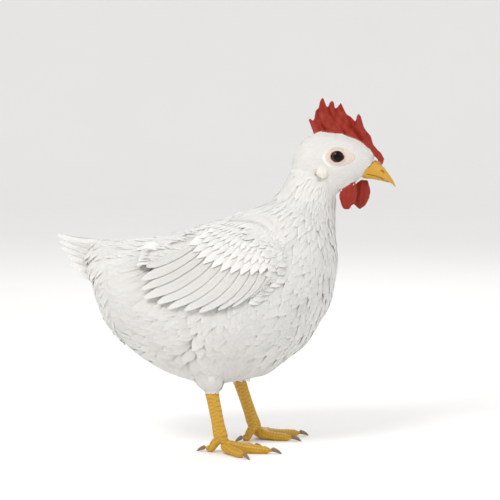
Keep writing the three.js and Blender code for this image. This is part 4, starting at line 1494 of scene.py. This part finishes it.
def build_mantle(side):
    """A sheet drawn taut from the back to the top of a wing, and the hollow under it at each place."""
    sign, pace = SIDES[side], MANTLE["step"]
    trees = tree_for("body"), wing_tree(side)
    xs = np.arange(MANTLE["rear"], MANTLE["front"], pace)
    ys = np.arange(0, MANTLE["wide"], pace)
    top = np.full((2, len(xs), len(ys)), -1.0)
    for k, i, j in np.ndindex(top.shape):
        hit = trees[k].ray_cast(place(xs[i], sign * ys[j], 300), (0, 0, -1))
        if hit[0]:
            top[k, i, j] = (hit[0].z - SHIFT.z) / MM
    roof = top.max(0)
    solid = roof.copy()
    for row, under, wing in zip(roof, solid, top[1]):
        winged = np.flatnonzero(wing > 190)
        if len(winged):
            last = winged[wing[winged].argmax()] + 1
            row[:last] = hull_over(ys[:last], row[:last])
            row[last : last + 2] = row[last - 1]
            under[last : last + 2] = row[last - 1] - 2
    bm = bmesh.new()
    bmesh.ops.create_grid(bm, x_segments=len(xs) - 1, y_segments=len(ys) - 1, size=1)
    for v in bm.verts:
        i = round((v.co.x + 1) / 2 * (len(xs) - 1))
        j = round((v.co.y + 1) / 2 * (len(ys) - 1))
        v.co = place(xs[i], sign * ys[j], roof[i, j])
    bmesh.ops.delete(bm, geom=[v for v in bm.verts if v.co.z < 185 * MM], context="VERTS")
    if sign < 0:
        bmesh.ops.reverse_faces(bm, faces=bm.faces)
    mesh = made_here["mantle_" + side] = mesh_from(bm, "mantle")
    relaxed(mesh, 0.4, 2)
    hollow = roof - solid

    def deep(points):
        x, y, _ = own(points)
        i = np.clip(np.rint((x - xs[0]) / pace).astype(int), 0, len(xs) - 1)
        j = np.clip(np.rint(y * sign / pace).astype(int), 0, len(ys) - 1)
        inward = np.maximum(j - 1, 0)
        return np.max([hollow[np.maximum(i - k, 0), n] for k in range(5) for n in (j, inward)], axis=0)

    return deep


def ahead_of_wing(points, side):
    """Which of the points lie along the front edge of a wing."""
    x, y, z = own(points)
    depth = wing_depth(points, side)
    return (y * SIDES[side] > 20) & (depth > -12) & (depth < 3) & (x > 52) & (z > 180)


COVERT_ROWS = (  # rows on the wing: number, start and end along the fan, lift of the tips, overlap, seed
    (12, -0.04, 0.37, 1.2, 0.85, 41),
    (14, -0.12, 0.23, 1.4, 0.9, 42),
    (15, -0.2, 0.11, 1.4, 0.95, 43),
    (17, -0.29, 0.01, 1.2, 1.0, 47),
    (18, -0.38, -0.09, 1.0, 1.0, 48),
    (19, -0.46, -0.19, 0.8, 1.0, 49),
)


class HenWings(bpy.types.Operator):
    """Builds the coverts and the flight feathers of both wings"""

    bl_idname = "hen.wings"
    bl_label = "Wings"

    def execute(self, context):
        count = WING["count"]
        half = count // 2
        middles = fan_places(count, 0.8)
        flights = (("secondaries", middles[:half], -0.6), ("primaries", middles[half:], -1.4))
        for side, sign in SIDES.items():
            surface = wing_surface(side)
            for part, across, drop in flights:
                lift = drop + np.linspace(0.5, -0.5, half)
                vanes, roots = fan_vanes(
                    "flight", surface, side, across, 1 / count, 0.8, 0.0, 1.0, lift, 0.9, 31, 0.12
                )
                name, node = f"feathers_{side}_{part}", f"wing_{side}_{part}"
                plumage(name, [vanes], feather_material("flight"), roots, node=node, seed=32)
            parts, roots = [], []
            for number, start, end, lift, overlap, seed in COVERT_ROWS:
                across = fan_places(number, overlap)
                vanes, at = fan_vanes(
                    "covert", surface, side, across, 1 / number, overlap, start, end, lift, 0.4, seed,
                    0.25, 2.4,
                )
                parts.append(vanes)
                roots.append(at)
            deep = build_mantle(side)
            mantle = "mantle_" + side
            at = sample(made_here[mantle], lambda p: (deep(p) > 1) & (p[:, 0] > -0.072), 0.7, seed=57)
            over = straight((-1, 0.06 * sign, -0.16))
            parts.append(coat("contour", mantle, at, 58, over, 0.05, 0.58, 0.85, 0.9, bend=BEND / 2))
            edge = sample(made_here["body"], lambda p: ahead_of_wing(p, side), 0.85, seed=55)
            over = straight((-0.9, 0.12 * sign, -0.42))
            parts.append(coat("contour", "body", edge, 56, over, 0.06, 0.62, 0.8, 2.6))
            roots = np.concatenate([*roots, at, edge])
            plumage(f"plumage_wing_{side}", parts, feather_material("plumage"), roots, seed=46)
        return {"FINISHED"}


class HenTail(bpy.types.Operator):
    """Builds the tail feathers"""

    bl_idname = "hen.tail"
    bl_label = "Tail"

    def execute(self, context):
        count = TAIL["count"]
        order = np.linspace(0.5, -0.5, count)
        for side in SIDES:
            surface = tail_surface(side)
            across = fan_places(count, 0.95)
            vanes, roots = fan_vanes(
                "flight", surface, side, across, 1 / count, 0.95, 0.0, 1.0, order, 0.5, 51, 0.16
            )
            flight, soft = feather_material("flight"), feather_material("plumage")
            plumage(f"feathers_tail_{side}", [vanes], flight, roots, node=f"tail_{side}", seed=52)
            across = fan_places(5, 0.9)
            vanes, roots = fan_vanes(
                "covert", surface, side, across, 1 / 5, 0.9, -0.05, 0.6, 1.5, 0.5, 53, 0.3, 5.0
            )
            plumage(f"plumage_tail_{side}", [vanes], soft, roots, seed=54)
        return {"FINISHED"}


LIGHTS = (  # name, place, size, power, colour
    ("key", (-0.9, -1.5, 1.8), 0.8, 26, (1.0, 0.98, 0.95)),
    ("fill", (1.8, -1.3, 1.0), 1.6, 6, (0.95, 0.97, 1.0)),
    ("back", (0.3, 1.8, 1.7), 1.3, 8, (1.0, 1.0, 1.0)),
)
WORLD_POWER = 0.88
GROUND = {"flat": 5, "bend": 1.6, "rise": 85, "parts": 12, "round": 96}  # metres, degrees, numbers of edges
# The view's width in metres and in pixels, the pixels at which X = 0 and the floor are, and millimetres.
VIEW = {"width": 0.56, "pixels": 500, "middle": 215, "floor": 447, "sensor": 36}


def aimed(name, data, at, way):
    """An object at a place that looks along a way."""
    made = add_object(name, data)
    made.location = at
    made.rotation_mode = "QUATERNION"
    made.rotation_quaternion = way.to_track_quat("-Z", "Y")
    return made


class HenStage(bpy.types.Operator):
    """Sets the floor, the lights and the camera"""

    bl_idname = "hen.stage"
    bl_label = "Stage"

    def execute(self, context):
        scene = context.scene
        settings = scene.hen_stage
        bm = bmesh.new()
        profile = [bm.verts.new((0, 0, 0)), bm.verts.new((GROUND["flat"], 0, 0))]
        for k in range(1, GROUND["parts"] + 1):
            a = math.radians(GROUND["rise"] * k / GROUND["parts"])
            x, z = math.sin(a), 1 - math.cos(a)
            profile.append(bm.verts.new((GROUND["flat"] + GROUND["bend"] * x, 0, GROUND["bend"] * z)))
        edges = [bm.edges.new(pair) for pair in zip(profile, profile[1:])]
        bmesh.ops.spin(
            bm, geom=profile + edges, axis=(0, 0, 1), cent=(0, 0, 0), angle=math.tau, steps=GROUND["round"],
            use_merge=True,
        )
        bmesh.ops.remove_doubles(bm, verts=bm.verts, dist=1e-5)
        bmesh.ops.recalc_face_normals(bm, faces=bm.faces)
        mesh = mesh_from(bm, "ground")
        mesh.shade_smooth()
        ground = add_object("ground", mesh)
        mesh.materials.append(plain_material("studio_floor", tuple(settings.floor), 0.9, 3, 0.0002, 0.02))

        world = scene.world or bpy.data.worlds.new("studio")
        scene.world = world
        world.use_nodes = True
        sky = world.node_tree.nodes["Background"].inputs
        sky[0].default_value = (1.0, 1.0, 1.0, 1)
        sky[1].default_value = WORLD_POWER
        for name, at, size, power, tint in LIGHTS:
            light = bpy.data.lights.new(name, "AREA")
            light.shape = "DISK"
            light.size = size
            light.energy = power
            light.color = tint
            aimed(name, light, at, Vector((0, 0, 0.2)) - Vector(at))

        rise = settings.elevation
        back = Vector((0, -math.cos(rise), math.sin(rise)))
        px, centre = VIEW["width"] / VIEW["pixels"], VIEW["pixels"] / 2
        x, z = (centre - VIEW["middle"]) * px + SHIFT.x, (VIEW["floor"] - centre) * px / math.cos(rise)
        lens = bpy.data.cameras.new("camera")
        lens.sensor_width = VIEW["sensor"]
        lens.lens = VIEW["sensor"] * settings.distance / VIEW["width"]
        scene.camera = aimed("camera", lens, Vector((x, 0, z)) + back * settings.distance, -back)
        scene.view_settings.view_transform = "Standard"
        return {"FINISHED"}


class HenPanel(bpy.types.Panel):
    """Lists the hen's settings and pieces"""

    bl_idname = "VIEW3D_PT_hen"
    bl_label = "White hen"
    bl_space_type = "VIEW_3D"
    bl_region_type = "UI"
    bl_category = "Hen"

    def draw(self, context):
        for group in ("hen_plumage", "hen_flesh", "hen_stage"):
            settings = getattr(context.scene, group)
            for name in settings.bl_rna.properties.keys():
                if name not in ("rna_type", "name"):
                    self.layout.prop(settings, name)
        for operator in OPERATORS:
            self.layout.operator(operator.bl_idname)


SETTINGS = {"hen_plumage": HenPlumageSettings, "hen_flesh": HenFleshSettings, "hen_stage": HenStageSettings}
OPERATORS = (HenSkin, HenEyes, HenHorn, HenScales, HenPlumage, HenWings, HenTail, HenStage)


def register():
    for name, group in SETTINGS.items():
        bpy.utils.register_class(group)
        setattr(bpy.types.Scene, name, PointerProperty(type=group))
    for kind in (*OPERATORS, HenPanel):
        bpy.utils.register_class(kind)


def unregister():
    for kind in (*OPERATORS, HenPanel):
        bpy.utils.unregister_class(kind)
    for name, group in SETTINGS.items():
        delattr(bpy.types.Scene, name)
        bpy.utils.unregister_class(group)


def main():
    register()
    for side, sign in SIDES.items():
        made_here["sheet_" + side], known = side_sheet(wing_tree(side), sign)
        made_here["edge_" + side] = inside_edge(known)
    bpy.ops.hen.skin()
    bpy.ops.hen.eyes()
    bpy.ops.hen.horn()
    bpy.ops.hen.scales()
    bpy.ops.hen.plumage()
    bpy.ops.hen.wings()
    bpy.ops.hen.tail()
    bpy.ops.hen.stage()


if __name__ == "__main__":
    main()
